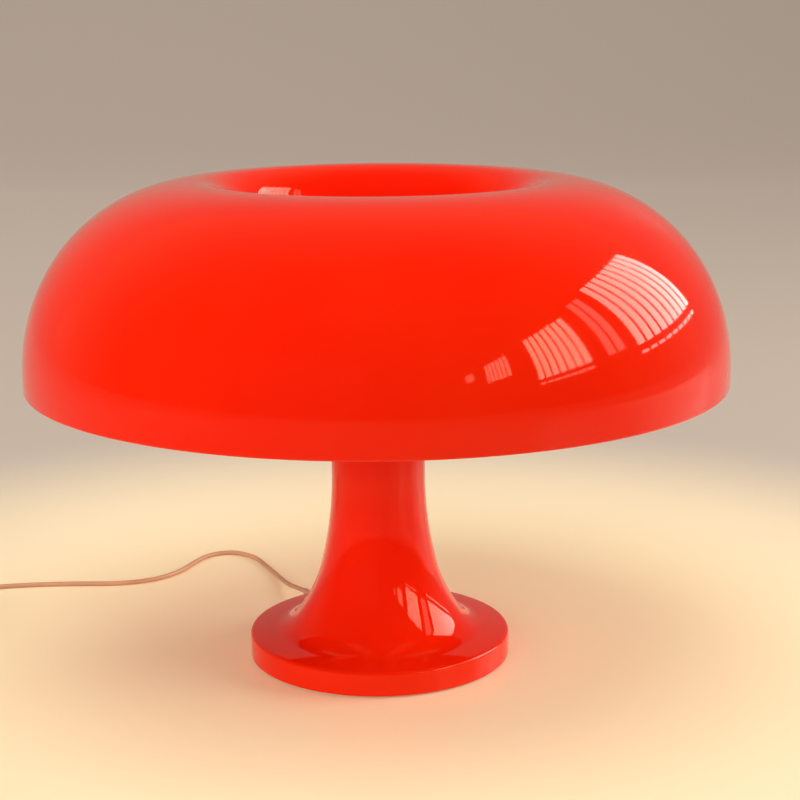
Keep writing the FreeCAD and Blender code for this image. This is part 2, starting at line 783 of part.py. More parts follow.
def runs_and_arcs(points):
    """Straight runs joined by tangent arcs, each as large as its two runs allow."""
    corners = [Vector(*point) for point in points]
    edges, radii, reached = [], [], corners[0]
    for before, corner, after in zip(corners, corners[1:], corners[2:]):
        arrive, leave = corner - before, after - corner
        turn = arrive.getAngle(leave)
        cut_back = 0.45 * min(arrive.Length, leave.Length)
        radii.append(cut_back / math.tan(turn / 2))
        arrive.normalize()
        leave.normalize()
        begin, finish = corner - arrive * cut_back, corner + leave * cut_back
        middle_way = (leave - arrive).normalize()
        depth = radii[-1] * (1 / math.cos(turn / 2) - 1)
        edges += [line(reached, begin), Part.Arc(begin, corner + middle_way * depth, finish).toShape()]
        reached = finish
    edges.append(line(reached, corners[-1]))
    return edges, radii


def cord_run(name, points, radius):
    edges, radii = runs_and_arcs(points)
    path = Part.Wire(edges)
    direction = Vector(*points[1]) - Vector(*points[0])
    section = Part.Wire(Part.makeCircle(radius, Vector(*points[0]), direction))
    solid = path.makePipeShell([section], True, False)
    expected = math.pi * radius ** 2 * path.Length
    print(f"{name}: length {path.Length:.1f}, volume/expected {solid.Volume / expected:.4f},",
          "radii", " ".join(f"{value:.0f}" for value in radii))
    return solid


def beside_axis(radius, angle, height):
    turn = math.radians(angle)
    return (radius * math.cos(turn), radius * math.sin(turn), height)


def inner_lead():
    """Cord inside the lamp: through the ballast's slot and up the hollow stem to the terminals."""
    inner_face = foot_radius - stem_wall - gland_collar_wall
    route = [beside_axis(inner_face, gland_angle, gland_height),
             beside_axis(lead_hole_radius, gland_angle, gland_height),
             beside_axis(lead_hole_radius, gland_angle, hub_top)]
    return cord_run("inner_lead", route, cord_radius)


def pole_sides():
    return -pole_spacing / 2, pole_spacing / 2


def terminal_block():
    """Two-pole block that stands on the hub, grooved between its poles."""
    top = hub_top + block_height
    block = Part.makeBox(block_width, block_length, block_height,
                         Vector(lead_hole_radius - block_width / 2, -block_length / 2, hub_top))
    for side in pole_sides():
        block = block.cut(rod_along(pole_bore / 2, top - pole_depth, top + overrun, lead_hole_radius, side))
    reach = block_width / 2 + overrun
    groove = Part.makeBox(2 * reach, pole_groove_width, pole_groove_depth + overrun,
                          Vector(lead_hole_radius - reach, -pole_groove_width / 2, top - pole_groove_depth))
    return spun(block.cut(groove), gland_angle)


def terminal_screws():
    """Slotted grub screws in the block's poles."""
    radius, top = terminal_screw_diameter / 2, hub_top + block_height - terminal_screw_sink
    screws = []
    for side in pole_sides():
        screw = rod_along(radius, top - terminal_screw_length, top, lead_hole_radius, side)
        corner = Vector(lead_hole_radius - 2 * radius, side - small_slot_width / 2, top - small_slot_depth)
        slot = Part.makeBox(4 * radius, small_slot_width, small_slot_depth + overrun, corner)
        screws.append(spun(screw.cut(slot), gland_angle))
    return group(screws)


def behind_tab(angle, distance):
    """A point on a holder's axis, this far behind the tab's outer face."""
    tilt = math.radians(holder_tilt)
    return beside_axis(arm_reach - distance * math.cos(tilt), angle, tab_height - distance * math.sin(tilt))


def holder_wires():
    """One sheathed pair per lampholder, from the block's top round the seat to the nipple."""
    wires = []
    for number, angle in enumerate(holder_angles(), 1):
        sweep = (angle - gland_angle + 180) % 360 - 180
        side = 1 if sweep > 0 else -1
        far = abs(sweep) > 90
        lane = far_wire_lane if far else wire_lane
        level = hub_top + (far_wire_level if far else wire_level)
        begin = gland_angle + side * wire_start_turn
        end = gland_angle + sweep - side * wire_end_turn
        stops = max(2, round(abs(sweep) / wire_point_turn))
        route = [beside_axis(lane, begin, hub_top + block_height), beside_axis(lane, begin, level - wire_bend)]
        route += [beside_axis(lane, begin + (end - begin) * stop / stops, level + wire_climb * stop)
                  for stop in range(1, stops)]
        route += [behind_tab(angle, nipple_length + wire_overhang), behind_tab(angle, nipple_length - wire_entry)]
        wires.append(cord_run(f"holder_wire_{number}", route, wire_diameter / 2))
    return group(wires)


# ---- cord, from the foot to the plug ----

def gland_tip():
    reach = foot_radius + gland_collar_wall + gland_sleeve_length
    return beside_axis(reach, gland_angle, gland_height)


def cord_gland():
    """Moulded strain relief: collar inside the foot's wall, collar outside, ribbed taper."""
    inner, outer = foot_radius - stem_wall, foot_radius
    collar, neck, tip = gland_collar_diameter / 2, gland_root_diameter / 2, gland_tip_diameter / 2
    flange = gland_flange_diameter / 2
    sleeve_start = outer + gland_collar_wall
    sleeve_end = sleeve_start + gland_sleeve_length
    end = inner - gland_collar_wall
    body = turned(chain(at(0, end), at(flange, end), at(flange, inner), at(neck, inner), at(neck, outer),
                        at(collar, outer), at(collar, sleeve_start), at(neck, sleeve_start),
                        at(tip, sleeve_end), at(0, sleeve_end)))
    for groove in range(gland_grooves):
        place = gland_groove_first + groove * gland_groove_pitch
        floor = neck + (tip - neck) * place / gland_sleeve_length - gland_groove_depth
        low = sleeve_start + place
        body = body.cut(tube(collar, floor, low, low + gland_groove_width))
    body.rotate(CENTRE, Vector(0, 1, 0), 90)
    body.translate(Vector(0, 0, gland_height))
    return spun(body, gland_angle)


def switch_end(side):
    turn = math.radians(switch_heading)
    reach = side * (switch_length / 2 + switch_sleeve_length)
    return (switch_place[0] + reach * math.cos(turn), switch_place[1] + reach * math.sin(turn),
            switch_cord_height)


def cord_lead():
    return cord_run("cord_lead", [gland_tip()] + lead_route + [switch_end(-1)], cord_radius)


def coil_ring():
    """Outer shape of the tied coil."""
    inner = (coil_mean_diameter - coil_section_width) / 2
    ring = tube(inner + coil_section_width, inner, 0.0, coil_section_height)
    rims = [edge for edge in ring.Edges if isinstance(edge.Curve, Part.Circle)]
    ring = ring.makeFillet(coil_edge_round, rims)
    ring.translate(Vector(*coil_place, 0))
    return ring


def cord_coil():
    return coil_ring()


def cord_link():
    route = [switch_end(1)] + link_route
    return cord_run("cord_link", route, cord_radius).cut(coil_ring())


def cord_tail():
    return cord_run("cord_tail", tail_route + [(*plug_place, plug_middle)], cord_radius).cut(coil_ring())


# ---- in-line switch ----

def switch_outline(inset):
    """Boat shape seen from above."""
    end = switch_length / 2 - inset
    half_end, half = switch_end_width / 2 - inset, switch_width / 2 - inset
    left = Part.Arc(Vector(-end, half_end, 0), Vector(0, half, 0), Vector(end, half_end, 0)).toShape()
    right = Part.Arc(Vector(end, -half_end, 0), Vector(0, -half, 0), Vector(-end, -half_end, 0)).toShape()
    return face_of([left, line(Vector(end, half_end, 0), Vector(end, -half_end, 0)), right,
                    line(Vector(-end, -half_end, 0), Vector(-end, half_end, 0))])


def switch_shell():
    block = switch_outline(0.0).extrude(Vector(0, 0, switch_height))
    block = block.makeFillet(switch_edge_round, block.Edges)
    hollow = switch_outline(switch_wall).extrude(Vector(0, 0, switch_height - 2 * switch_wall))
    hollow.translate(Vector(0, 0, switch_wall))
    return block.cut(hollow)


def slab(low, high):
    wide = switch_length + 4 * switch_sleeve_length
    return Part.makeBox(wide, wide, high - low, Vector(-wide / 2, -wide / 2, low))


def along_switch(radius, bottom, top):
    """One upright cylinder at each screw."""
    return [rod_along(radius, bottom, top, x) for x in (-switch_pillar_place, switch_pillar_place)]


def switch_base():
    """Tray with a sleeve for the cord at each end and pillars for the screws."""
    body = switch_shell().common(slab(-overrun, switch_split))
    body = body.fuse(along_switch(switch_pillar_diameter / 2, switch_wall, switch_split))
    hole = switch_screw_diameter / 2 + switch_screw_clearance
    body = body.cut(along_switch(hole, -overrun, switch_split + overrun))
    recess_top = switch_screw_sink + switch_screw_head_height
    body = body.cut(along_switch(switch_screw_head / 2 + sliding_clearance, -overrun, recess_top))
    for side in (-1, 1):
        root = Vector(side * (switch_length / 2 - switch_sleeve_overlap), 0, switch_cord_height)
        sleeve = Part.makeCone(switch_sleeve_root_diameter / 2, cord_radius + sleeve_tip_wall,
                               switch_sleeve_length + switch_sleeve_overlap, root, Vector(side, 0, 0))
        body = body.fuse(sleeve)
    return on_table(body.removeSplitter(), switch_place, switch_heading)


def rocker_pivot():
    return Vector(0, 0, switch_height - rocker_drop)


def switch_cover():
    """Cover with a window for the rocker, an ear each side for its pins, and screw pillars."""
    body = switch_shell().common(slab(switch_split, switch_height + overrun))
    body = body.fuse(along_switch(switch_pillar_diameter / 2, switch_split, switch_height - switch_wall))
    half, ear_low = rocker_width / 2 + rocker_clearance, switch_split + ear_gap
    for y in (half, -half - ear_wall):
        body = body.fuse(Part.makeBox(ear_length, ear_wall, switch_height - switch_wall - ear_low,
                                      Vector(-ear_length / 2, y, ear_low)))
    window = rocker_length + 2 * rocker_end_clearance
    body = body.cut(Part.makeBox(window, 2 * half, switch_height,
                                 Vector(-window / 2, -half, switch_height - rocker_drop)))
    pilot_top = switch_split + switch_pilot_reach
    body = body.cut(along_switch(switch_screw_diameter / 2 + thread_clearance, switch_split - overrun, pilot_top))
    reach = half + ear_wall
    pivot_hole = Part.makeCylinder(rocker_pin_diameter / 2 + rocker_pin_clearance, 2 * reach,
                                   rocker_pivot() - Vector(0, reach, 0), Vector(0, 1, 0))
    return on_table(body.cut(pivot_hole).removeSplitter(), switch_place, switch_heading)


def switch_rocker():
    """Rocker with a dished top and a rounded belly, on two short pins; drawn about its pivot."""
    half = rocker_length / 2
    waist, foot = half - rocker_waist_inset, half - rocker_foot_inset
    dish = Part.Arc(at(-half, rocker_rise), at(0, rocker_rise - rocker_dish), at(half, rocker_rise))
    belly = Part.Arc(at(foot, -rocker_foot_drop), at(0, -rocker_belly_drop), at(-foot, -rocker_foot_drop))
    edges = [dish.toShape(), belly.toShape()]
    for side in (-1, 1):
        edges += [line(at(side * half, rocker_rise), at(side * waist, rocker_waist_rise)),
                  line(at(side * waist, rocker_waist_rise), at(side * foot, -rocker_foot_drop))]
    body = face_of(edges).extrude(Vector(0, rocker_width, 0))
    body.translate(Vector(0, -rocker_width / 2, 0))
    reach = rocker_width / 2 + rocker_clearance + rocker_pin_reach
    pins = Part.makeCylinder(rocker_pin_diameter / 2, 2 * reach, Vector(0, -reach, 0), Vector(0, 1, 0))
    body = body.fuse(pins).removeSplitter()
    body.rotate(CENTRE, Vector(0, 1, 0), -rocker_throw / 2)
    body.translate(rocker_pivot())
    return on_table(body, switch_place, switch_heading)


def switch_screws():
    """Slotted screws up through the base into the cover."""
    head, radius = switch_screw_head / 2, switch_screw_diameter / 2
    head_top = switch_screw_sink + switch_screw_head_height
    screws = []
    for x in (-switch_pillar_place, switch_pillar_place):
        screw = rod_along(head, switch_screw_sink, head_top, x)
        screw = screw.fuse(rod_along(radius, switch_screw_sink, switch_split + switch_screw_reach, x))
        slot = Part.makeBox(2 * head + overrun, small_slot_width, small_slot_depth + overrun,
                            Vector(x - head - overrun / 2, -small_slot_width / 2, switch_screw_sink - overrun))
        screws.append(screw.cut(slot))
    return on_table(group(screws), switch_place, switch_heading)


def switch_contacts():
    """Two angled strips on the tray's floor, their upright ends under the rocker."""
    corner = Vector(strip_place, -strip_width / 2, switch_wall)
    strip = Part.makeBox(strip_length, strip_width, strip_wall, corner)
    angled = strip.fuse(Part.makeBox(strip_wall, strip_width, strip_rise, corner)).removeSplitter()
    return on_table(group([angled, spun(angled, 180)]), switch_place, switch_heading)


# ---- plug ----

def plug_plan():
    """Seen from above: narrow at the cord, a swelling side out to the shoulder, straight to the nose."""
    start, shoulder = plug_sleeve_length, plug_sleeve_length + plug_shoulder
    half, half_nose, half_rear = plug_width / 2, plug_nose_width / 2, plug_rear_width / 2
    edges = []
    for side in (-1, 1):
        rear, wide = Vector(start, side * half_rear, 0), Vector(shoulder, side * half, 0)
        swell = Vector(start + plug_swell, side * (half - plug_swell_inset), 0)
        edges += [Part.Arc(rear, swell, wide).toShape(), line(wide, Vector(plug_nose, side * half_nose, 0))]
    for x, reach in ((start, half_rear), (plug_nose, half_nose)):
        edges.append(line(Vector(x, reach, 0), Vector(x, -reach, 0)))
    return face_of(edges)


def plug_body():
    """Flat two-pin plug with a ribbed sleeve behind, thinner towards the cord."""
    start, shoulder, half = plug_sleeve_length, plug_sleeve_length + plug_shoulder, plug_width / 2
    low, high, thin = plug_lift, plug_lift + plug_thickness, plug_rear_thickness / 2
    block = plug_plan().extrude(Vector(0, 0, plug_thickness))
    block.translate(Vector(0, 0, plug_lift))
    flank = [(start, plug_middle - thin), (shoulder, low), (plug_nose, low), (plug_nose, high), (shoulder, high),
             (start, plug_middle + thin)]
    profile = face_of(chain(*[Vector(x, -half, z) for x, z in flank]))
    block = block.common(profile.extrude(Vector(0, plug_width, 0)))
    block = block.makeFillet(plug_edge_round, block.Edges)
    root, tip = plug_sleeve_root_diameter / 2, cord_radius + sleeve_tip_wall
    length, forward = plug_sleeve_length + plug_sleeve_overlap, Vector(1, 0, 0)
    body = block.fuse(Part.makeCone(tip, root, length, Vector(0, 0, plug_middle), forward))
    for groove in range(plug_grooves):
        place = plug_groove_first + groove * plug_groove_pitch
        floor = tip + (root - tip) * place / length - plug_groove_depth
        ring = tube(root + overrun, floor, place, place + plug_groove_width)
        ring.rotate(CENTRE, Vector(0, 1, 0), 90)
        ring.translate(Vector(0, 0, plug_middle))
        body = body.cut(ring)
    return on_table(body.removeSplitter(), plug_place, plug_heading)


def on_plug(shape):
    """Two copies of a shape drawn along +Z from the plug's face, one at each pin."""
    copies = []
    for side in (-1, 1):
        foot = Vector(plug_nose, side * pin_spacing / 2, plug_middle)
        copy = shape.copy()
        copy.Placement = Placement(foot, Rotation(Vector(0, 1, 0), 90)).multiply(copy.Placement)
        copies.append(copy)
    return on_table(group(copies), plug_place, plug_heading)


def plug_pins():
    """Round pins, necked where the sleeves are moulded on, with rounded tips."""
    blade = rod_along(pin_diameter / 2, pin_sleeve_length, pin_length)
    tip = [edge for edge in blade.Edges if isinstance(edge.Curve, Part.Circle)
           and edge.CenterOfMass.z > pin_length - pin_tip_round]
    neck = rod_along(pin_neck_diameter / 2, 0, pin_sleeve_length)
    return on_plug(blade.makeFillet(pin_tip_round, tip).fuse(neck))


def pin_sleeves():
    """Insulation moulded round the pins' necks."""
    return on_plug(tube(pin_sleeve_diameter / 2, pin_neck_diameter / 2, 0, pin_sleeve_length))


NODES = {
    "shade": shade, "stem": stem, "base_cover": base_cover, "foot_pads": foot_pads,
    "cover_screws": cover_screws, "ballast": ballast, "tie_rod": tie_rod, "rod_nuts": rod_nuts,
    "rod_washer": rod_washer, "shade_seat": shade_seat, "socket_carrier": socket_carrier,
    "holder_contacts": holder_contacts, "holder_nuts": holder_nuts, "shade_knob": shade_knob,
    "knob_washer": knob_washer, "inner_lead": inner_lead, "terminal_block": terminal_block,
    "terminal_screws": terminal_screws, "holder_wires": holder_wires, "cord_gland": cord_gland,
    "cord_lead": cord_lead, "cord_link": cord_link, "cord_coil": cord_coil, "cord_tail": cord_tail,
    "switch_base": switch_base, "switch_cover": switch_cover, "switch_rocker": switch_rocker,
    "switch_screws": switch_screws, "switch_contacts": switch_contacts, "plug_body": plug_body,
    "plug_pins": plug_pins, "pin_sleeves": pin_sleeves,
}
PER_HOLDER = {"lampholder": lampholder, "bulb_glass": bulb_glass, "bulb_cap": bulb_cap, "bulb_tip": bulb_tip}


def save(name, shape):
    shape.exportStep(f"parts/{name}.step")
    print(name, len(shape.Solids), "solids", round(shape.Volume), shape.isValid())


def main():
    os.makedirs("parts", exist_ok=True)
    for name, make in NODES.items():
        save(name, make())
    for name, make in PER_HOLDER.items():
        shape = make()
        for number, angle in enumerate(holder_angles(), 1):
            save(f"{name}_{number}", on_holder(shape, angle))


main()
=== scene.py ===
import math

import bpy
from mathutils import Matrix, Vector


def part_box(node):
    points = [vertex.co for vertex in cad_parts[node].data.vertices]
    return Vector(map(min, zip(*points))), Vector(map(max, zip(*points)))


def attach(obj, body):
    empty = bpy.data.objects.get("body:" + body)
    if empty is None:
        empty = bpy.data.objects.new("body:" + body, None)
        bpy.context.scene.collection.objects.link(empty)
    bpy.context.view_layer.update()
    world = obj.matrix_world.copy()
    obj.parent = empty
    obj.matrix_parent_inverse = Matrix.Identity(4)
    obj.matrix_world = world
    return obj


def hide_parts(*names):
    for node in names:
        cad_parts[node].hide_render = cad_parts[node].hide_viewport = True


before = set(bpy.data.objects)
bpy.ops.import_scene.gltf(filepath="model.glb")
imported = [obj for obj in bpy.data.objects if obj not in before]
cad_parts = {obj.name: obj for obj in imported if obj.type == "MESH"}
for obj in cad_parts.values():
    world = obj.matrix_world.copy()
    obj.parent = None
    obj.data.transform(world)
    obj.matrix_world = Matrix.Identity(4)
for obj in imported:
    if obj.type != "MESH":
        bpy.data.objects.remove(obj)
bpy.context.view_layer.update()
scene = bpy.context.scene
mm = 0.001
weld = 0.002 * mm                       # corners nearer than this become one


# helpers for shaping

def clearPicks():
    if bpy.context.mode != "OBJECT":
        bpy.ops.object.mode_set(mode="OBJECT")
    bpy.ops.object.select_all(action="DESELECT")


def pickOnly(piece):
    clearPicks()
    piece.select_set(True)
    bpy.context.view_layer.objects.active = piece


def editPiece(piece, mode="VERT", everything=True):
    pickOnly(piece)
    bpy.ops.object.mode_set(mode="EDIT")
    bpy.ops.mesh.select_mode(type=mode)
    bpy.ops.mesh.select_all(action="SELECT" if everything else "DESELECT")


def nameActive(name):
    piece = bpy.context.object
    piece.name = name
    piece.data.name = name
    return piece


def settle(piece):                      # the object's place goes into its mesh
    pickOnly(piece)
    bpy.ops.object.transform_apply(location=True, rotation=True, scale=True)
    return piece


def smooth(piece, angle=35):
    pickOnly(piece)
    bpy.ops.object.shade_smooth_by_angle(angle=math.radians(angle))
    return piece


def applyModifier(piece, kind, **settings):
    pickOnly(piece)
    modifier = piece.modifiers.new(kind.lower(), kind)
    for key, value in settings.items():
        setattr(modifier, key, value)
    bpy.ops.object.modifier_apply(modifier=modifier.name)


def drawChain(name, points):            # an edge chain, extruded from point to point
    clearPicks()
    bpy.ops.mesh.primitive_plane_add(size=mm, location=points[0])
    piece = settle(nameActive(name))
    editPiece(piece)
    bpy.ops.mesh.merge(type="CENTER")
    for before, after in zip(points, points[1:]):
        step = Vector(after) - Vector(before)
        bpy.ops.mesh.extrude_region_move(TRANSFORM_OT_translate={"value": step})
    return piece


def weldMesh():                         # in edit mode: doubles become one, and faces point outwards
    bpy.ops.mesh.select_all(action="SELECT")
    bpy.ops.mesh.remove_doubles(threshold=weld)
    bpy.ops.mesh.normals_make_consistent(inside=False)


def turnOutline(name, outline, steps, angle=35):      # spins (radius, height) pairs round the upright axis
    piece = drawChain(name, [(radius, 0, height) for radius, height in outline])
    bpy.ops.mesh.select_all(action="SELECT")
    bpy.ops.mesh.spin(steps=steps, angle=2 * math.pi, center=(0, 0, 0), axis=(0, 0, 1))
    weldMesh()
    return smooth(piece, angle)


def ellipsePoints(centre, reach, rise, start, end, steps):      # degrees from the outward direction
    points = []
    for step in range(steps + 1):
        turn = math.radians(start + (end - start) * step / steps)
        points.append((centre[0] + reach * math.cos(turn), centre[1] + rise * math.sin(turn)))
    return points


def arcPoints(centre, radius, start, end, steps):
    return ellipsePoints(centre, radius, radius, start, end, steps)


def offNearest(place, count):           # angle between a place and the nearest of evenly spaced lines
    every = 2 * math.pi / count
    return abs((math.atan2(place.y, place.x) + every / 2) % every - every / 2)


def drawIn(piece, wanted, share):       # moves the corners whose place fits towards the upright axis
    editPiece(piece, everything=False)
    bpy.ops.object.mode_set(mode="OBJECT")
    for vertex in piece.data.vertices:
        vertex.select = wanted(vertex.co)
    bpy.ops.object.mode_set(mode="EDIT")
    bpy.ops.transform.resize(value=(share, share, 1), center_override=(0, 0, 0))
    bpy.ops.object.mode_set(mode="OBJECT")


def turnThread(name, profile, pitch, low, high, steps=32):   # (radius, rise) pairs of one turn
    start = low - 2 * pitch
    piece = drawChain(name, [(radius, 0, start + rise) for radius, rise in profile])
    bpy.ops.object.mode_set(mode="OBJECT")
    turns = math.ceil((high - start) / pitch) + 1
    applyModifier(piece, "SCREW", screw_offset=pitch, iterations=turns, steps=steps, render_steps=steps,
                  use_merge_vertices=True, merge_threshold=0.005 * mm)
    for height, inner in ((low, True), (high, False)):
        editPiece(piece)
        bpy.ops.mesh.bisect(plane_co=(0, 0, height), plane_no=(0, 0, 1), use_fill=True, clear_inner=inner,
                            clear_outer=not inner)
    weldMesh()
    return smooth(piece, 40)


def makeBand(name, points, width, wall):              # a strip of sheet, drawn out sideways from the points
    band = drawChain(name, points)
    bpy.ops.mesh.select_all(action="SELECT")
    bpy.ops.mesh.remove_doubles(threshold=weld)
    bpy.ops.mesh.select_all(action="SELECT")
    bpy.ops.mesh.extrude_region_move(TRANSFORM_OT_translate={"value": (width, 0, 0)})
    bpy.ops.object.mode_set(mode="OBJECT")
    applyModifier(band, "SOLIDIFY", thickness=wall, offset=0.0)
    editPiece(band)
    bpy.ops.mesh.normals_make_consistent(inside=False)
    return band


def joinPieces(name, pieces):
    clearPicks()
    for piece in pieces:
        piece.select_set(True)
    bpy.context.view_layer.objects.active = pieces[0]
    bpy.ops.object.join()
    return nameActive(name)


def finish(piece, body, nodes=()):              # rides its body and stands for its nodes
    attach(piece, body)
    if nodes:
        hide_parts(*nodes)
    return piece


def copyPiece(source, name, place):                   # a copy with its own mesh, moved by a matrix
    copy = source.copy()
    copy.data = source.data.copy()
    copy.name = name
    copy.data.name = name
    scene.collection.objects.link(copy)
    copy.data.transform(place)
    return copy


# helpers for materials

noiseSpans = {                           # stretch of a noise's values that each effect follows
    "colour": (0.35, 0.65),
    "roughness": (0.3, 0.7),
}


def startMaterial(name, colour, roughness, metallic=0.0):
    material = bpy.data.materials.new(name)
    material.use_nodes = True
    tree = material.node_tree
    shader = tree.nodes["Principled BSDF"]
    shader.inputs["Base Color"].default_value = (*colour, 1)
    shader.inputs["Roughness"].default_value = roughness
    shader.inputs["Metallic"].default_value = metallic
    return material, tree, shader


def addNode(tree, kind, **values):
    node = tree.nodes.new(kind)
    for key, value in values.items():
        if key in node.inputs:
            node.inputs[key].default_value = value
        else:
            setattr(node, key, value)
    return node


def objectNoise(tree, scale, detail=4.0, stretch=(1, 1, 1)):
    coordinates = addNode(tree, "ShaderNodeTexCoord")
    mapping = addNode(tree, "ShaderNodeMapping", Scale=stretch)
    noise = addNode(tree, "ShaderNodeTexNoise", Scale=scale, Detail=detail)
    tree.links.new(coordinates.outputs["Object"], mapping.inputs["Vector"])
    tree.links.new(mapping.outputs["Vector"], noise.inputs["Vector"])
    return noise.outputs["Fac"]


def varyColour(tree, shader, factor, first, second):
    ramp = addNode(tree, "ShaderNodeValToRGB")
    for stop, position, colour in zip(ramp.color_ramp.elements, noiseSpans["colour"], (first, second)):
        stop.position = position
        stop.color = (*colour, 1)
    tree.links.new(factor, ramp.inputs["Fac"])
    tree.links.new(ramp.outputs["Color"], shader.inputs["Base Color"])


def mapRange(tree, value, span, results=(0.0, 1.0), ease="LINEAR"):
    reach = addNode(tree, "ShaderNodeMapRange", interpolation_type=ease)
    for socket, number in zip(("From Min", "From Max", "To Min", "To Max"), (*span, *results)):
        reach.inputs[socket].default_value = number
    tree.links.new(value, reach.inputs["Value"])
    return reach.outputs["Result"]


def varyRoughness(tree, shader, factor, low, high):
    tree.links.new(mapRange(tree, factor, noiseSpans["roughness"], (low, high)), shader.inputs["Roughness"])


def mixColours(tree, share, first, second):
    mix = addNode(tree, "ShaderNodeMix", data_type="RGBA")
    for socket, colour in ((6, first), (7, second)):            # the node's two colour sockets
        mix.inputs[socket].default_value = (*colour, 1)
    tree.links.new(share, mix.inputs[0])
    return mix.outputs[2]


def addBump(tree, shader, height, strength, distance, below=None):
    bump = addNode(tree, "ShaderNodeBump", Strength=strength, Distance=distance)
    tree.links.new(height, bump.inputs["Height"])
    if below:
        tree.links.new(below.outputs["Normal"], bump.inputs["Normal"])
    tree.links.new(bump.outputs["Normal"], shader.inputs["Normal"])
    return bump


def tone(colour, factor):
    return tuple(channel * factor for channel in colour)


# camera at the photograph's viewing angle

viewCamera = {
    "place": (0.0, -0.77747, 0.29574),
    "lens": 77.475,
    "sensor": 36.0,
    "nearest": 0.01,
    "turn": 0.7613,                      # degrees to the right of +Y
    "down": 12.6115,
    "roll": -0.3562,
}


def makeCamera():
    clearPicks()
    bpy.ops.object.camera_add()
    camera = bpy.context.object
    camera.name = "viewCamera"
    camera.data.lens = viewCamera["lens"]
    camera.data.sensor_width = viewCamera["sensor"]
    camera.data.clip_start = viewCamera["nearest"]
    turn = Matrix.Rotation(math.radians(-viewCamera["turn"]), 4, "Z")
    tilt = Matrix.Rotation(math.radians(90 - viewCamera["down"]), 4, "X")
    roll = Matrix.Rotation(math.radians(viewCamera["roll"]), 4, "Z")
    camera.matrix_world = Matrix.Translation(viewCamera["place"]) @ turn @ tilt @ roll
    scene.camera = camera


makeCamera()
print("camera made")


# the cord: two stretches, from the foot to the switch and from the switch to the plug

cordLook = {
    "diameter": 2.4 * mm,
    "glandTip": (-38.07, 67.57, 6.2),
    "switchBack": (-216.0, 70.0, 3.4),   # sleeve tips of the switch
    "switchFront": (-216.0, 4.0, 3.4),
    "plugTip": (-271.0, 88.0, 6.9),
    "colour": (0.64, 0.33, 0.18),
    "tones": (0.9, 1.06),
    "roughness": (0.36, 0.5),
}
leadRoute = [(-43.0, 76.3, 5.2), (-48.0, 88.5, 2.8), (-53.0, 104.0, 1.3), (-61.0, 123.5, 1.2),
             (-69.5, 142.5, 1.2), (-82.0, 151.5, 1.2), (-95.0, 147.0, 1.2), (-102.0, 133.0, 1.2),
             (-108.0, 117.0, 1.2), (-120.0, 103.5, 1.2), (-139.0, 97.5, 1.2), (-162.0, 98.5, 1.2),
             (-184.0, 97.5, 1.2), (-206.5, 94.0, 1.2), (-216.0, 81.0, 3.0)]
linkRoute = [(-216.5, -6.0, 3.0), (-222.5, -15.5, 1.4), (-236.0, -18.6, 1.2)]
tailRoute = [(-269.0, 13.0, 7.8), (-270.5, 25.0, 4.4), (-272.8, 38.0, 1.6),
             (-273.2, 52.0, 1.4), (-272.0, 66.0, 4.2), (-271.2, 78.0, 6.6)]
coil = {
    "centre": (-250.0, 1.0),
    "turns": 14.25,
    "perTurn": 16,
    "outerRadius": 18.75,
    "spacing": 2.5,
    "lowest": 1.6,                       # the tie's band passes under it
    "layer": 2.4,
    "startAngle": -90.0,
}
# shifts of the winding in turns: (start, end, columns outwards, layers up)
coilShifts = [(0.75, 1.0, -1, 0), (1.75, 2.0, -1, 0), (2.75, 3.0, -1, 0), (3.5, 3.75, 0, 1),
              (4.25, 4.5, 1, 0), (5.25, 5.5, 1, 0), (6.25, 6.5, 1, 0), (7.0, 7.25, 0, 1),
              (7.75, 8.0, -1, 0), (8.75, 9.0, -1, 0), (9.75, 10.0, -1, 0), (10.5, 10.75, 0, 1),
              (11.25, 11.5, 1, 0), (12.25, 12.5, 1, 0), (13.25, 13.5, 1, 0)]


def coilPoints():
    points = []
    for step in range(int(coil["turns"] * coil["perTurn"]) + 1):
        turns = step / coil["perTurn"]
        column = layer = 0.0
        for start, end, outwards, up in coilShifts:
            share = min(max((turns - start) / (end - start), 0.0), 1.0)
            column += outwards * share
            layer += up * share
        radius = coil["outerRadius"] + column * coil["spacing"]
        angle = math.radians(coil["startAngle"] - 360.0 * turns)
        points.append((coil["centre"][0] + radius * math.cos(angle),
                       coil["centre"][1] + radius * math.sin(angle),
                       coil["lowest"] + layer * coil["layer"]))
    return points


def cordCurve(name, route):
    curve = bpy.data.curves.new(name, "CURVE")
    curve.dimensions = "3D"
    curve.bevel_depth = cordLook["diameter"] / 2
    curve.bevel_resolution = 5
    curve.resolution_u = 6
    curve.use_fill_caps = True
    spline = curve.splines.new("NURBS")
    spline.points.add(len(route) - 1)
    for point, place in zip(spline.points, route):
        point.co = (*(value * mm for value in place), 1)
    spline.order_u = 3
    spline.use_endpoint_u = True
    cord = bpy.data.objects.new(name, curve)
    scene.collection.objects.link(cord)
    return cord


def sheathMaterial():
    material, tree, shader = startMaterial("cordSheath", cordLook["colour"], 0.42)
    dusty = objectNoise(tree, scale=60)
    varyColour(tree, shader, dusty, *(tone(cordLook["colour"], factor) for factor in cordLook["tones"]))
    grain = objectNoise(tree, scale=2500, detail=2.0)
    varyRoughness(tree, shader, grain, *cordLook["roughness"])
    addBump(tree, shader, grain, strength=0.25, distance=0.05 * mm)
    return material


sheath = sheathMaterial()
leadCord = cordCurve("lead_cord", [cordLook["glandTip"], *leadRoute, cordLook["switchBack"]])
plugCord = cordCurve("plug_cord", [cordLook["switchFront"], *linkRoute, *coilPoints(), *tailRoute,
                                   cordLook["plugTip"]])
leadCord.data.materials.append(sheath)
plugCord.data.materials.append(sheath)
finish(leadCord, "lamp", ("cord_lead",))
finish(plugCord, "lamp", ("cord_link", "cord_coil", "cord_tail"))
print("cord laid")


# orange moulded plastic

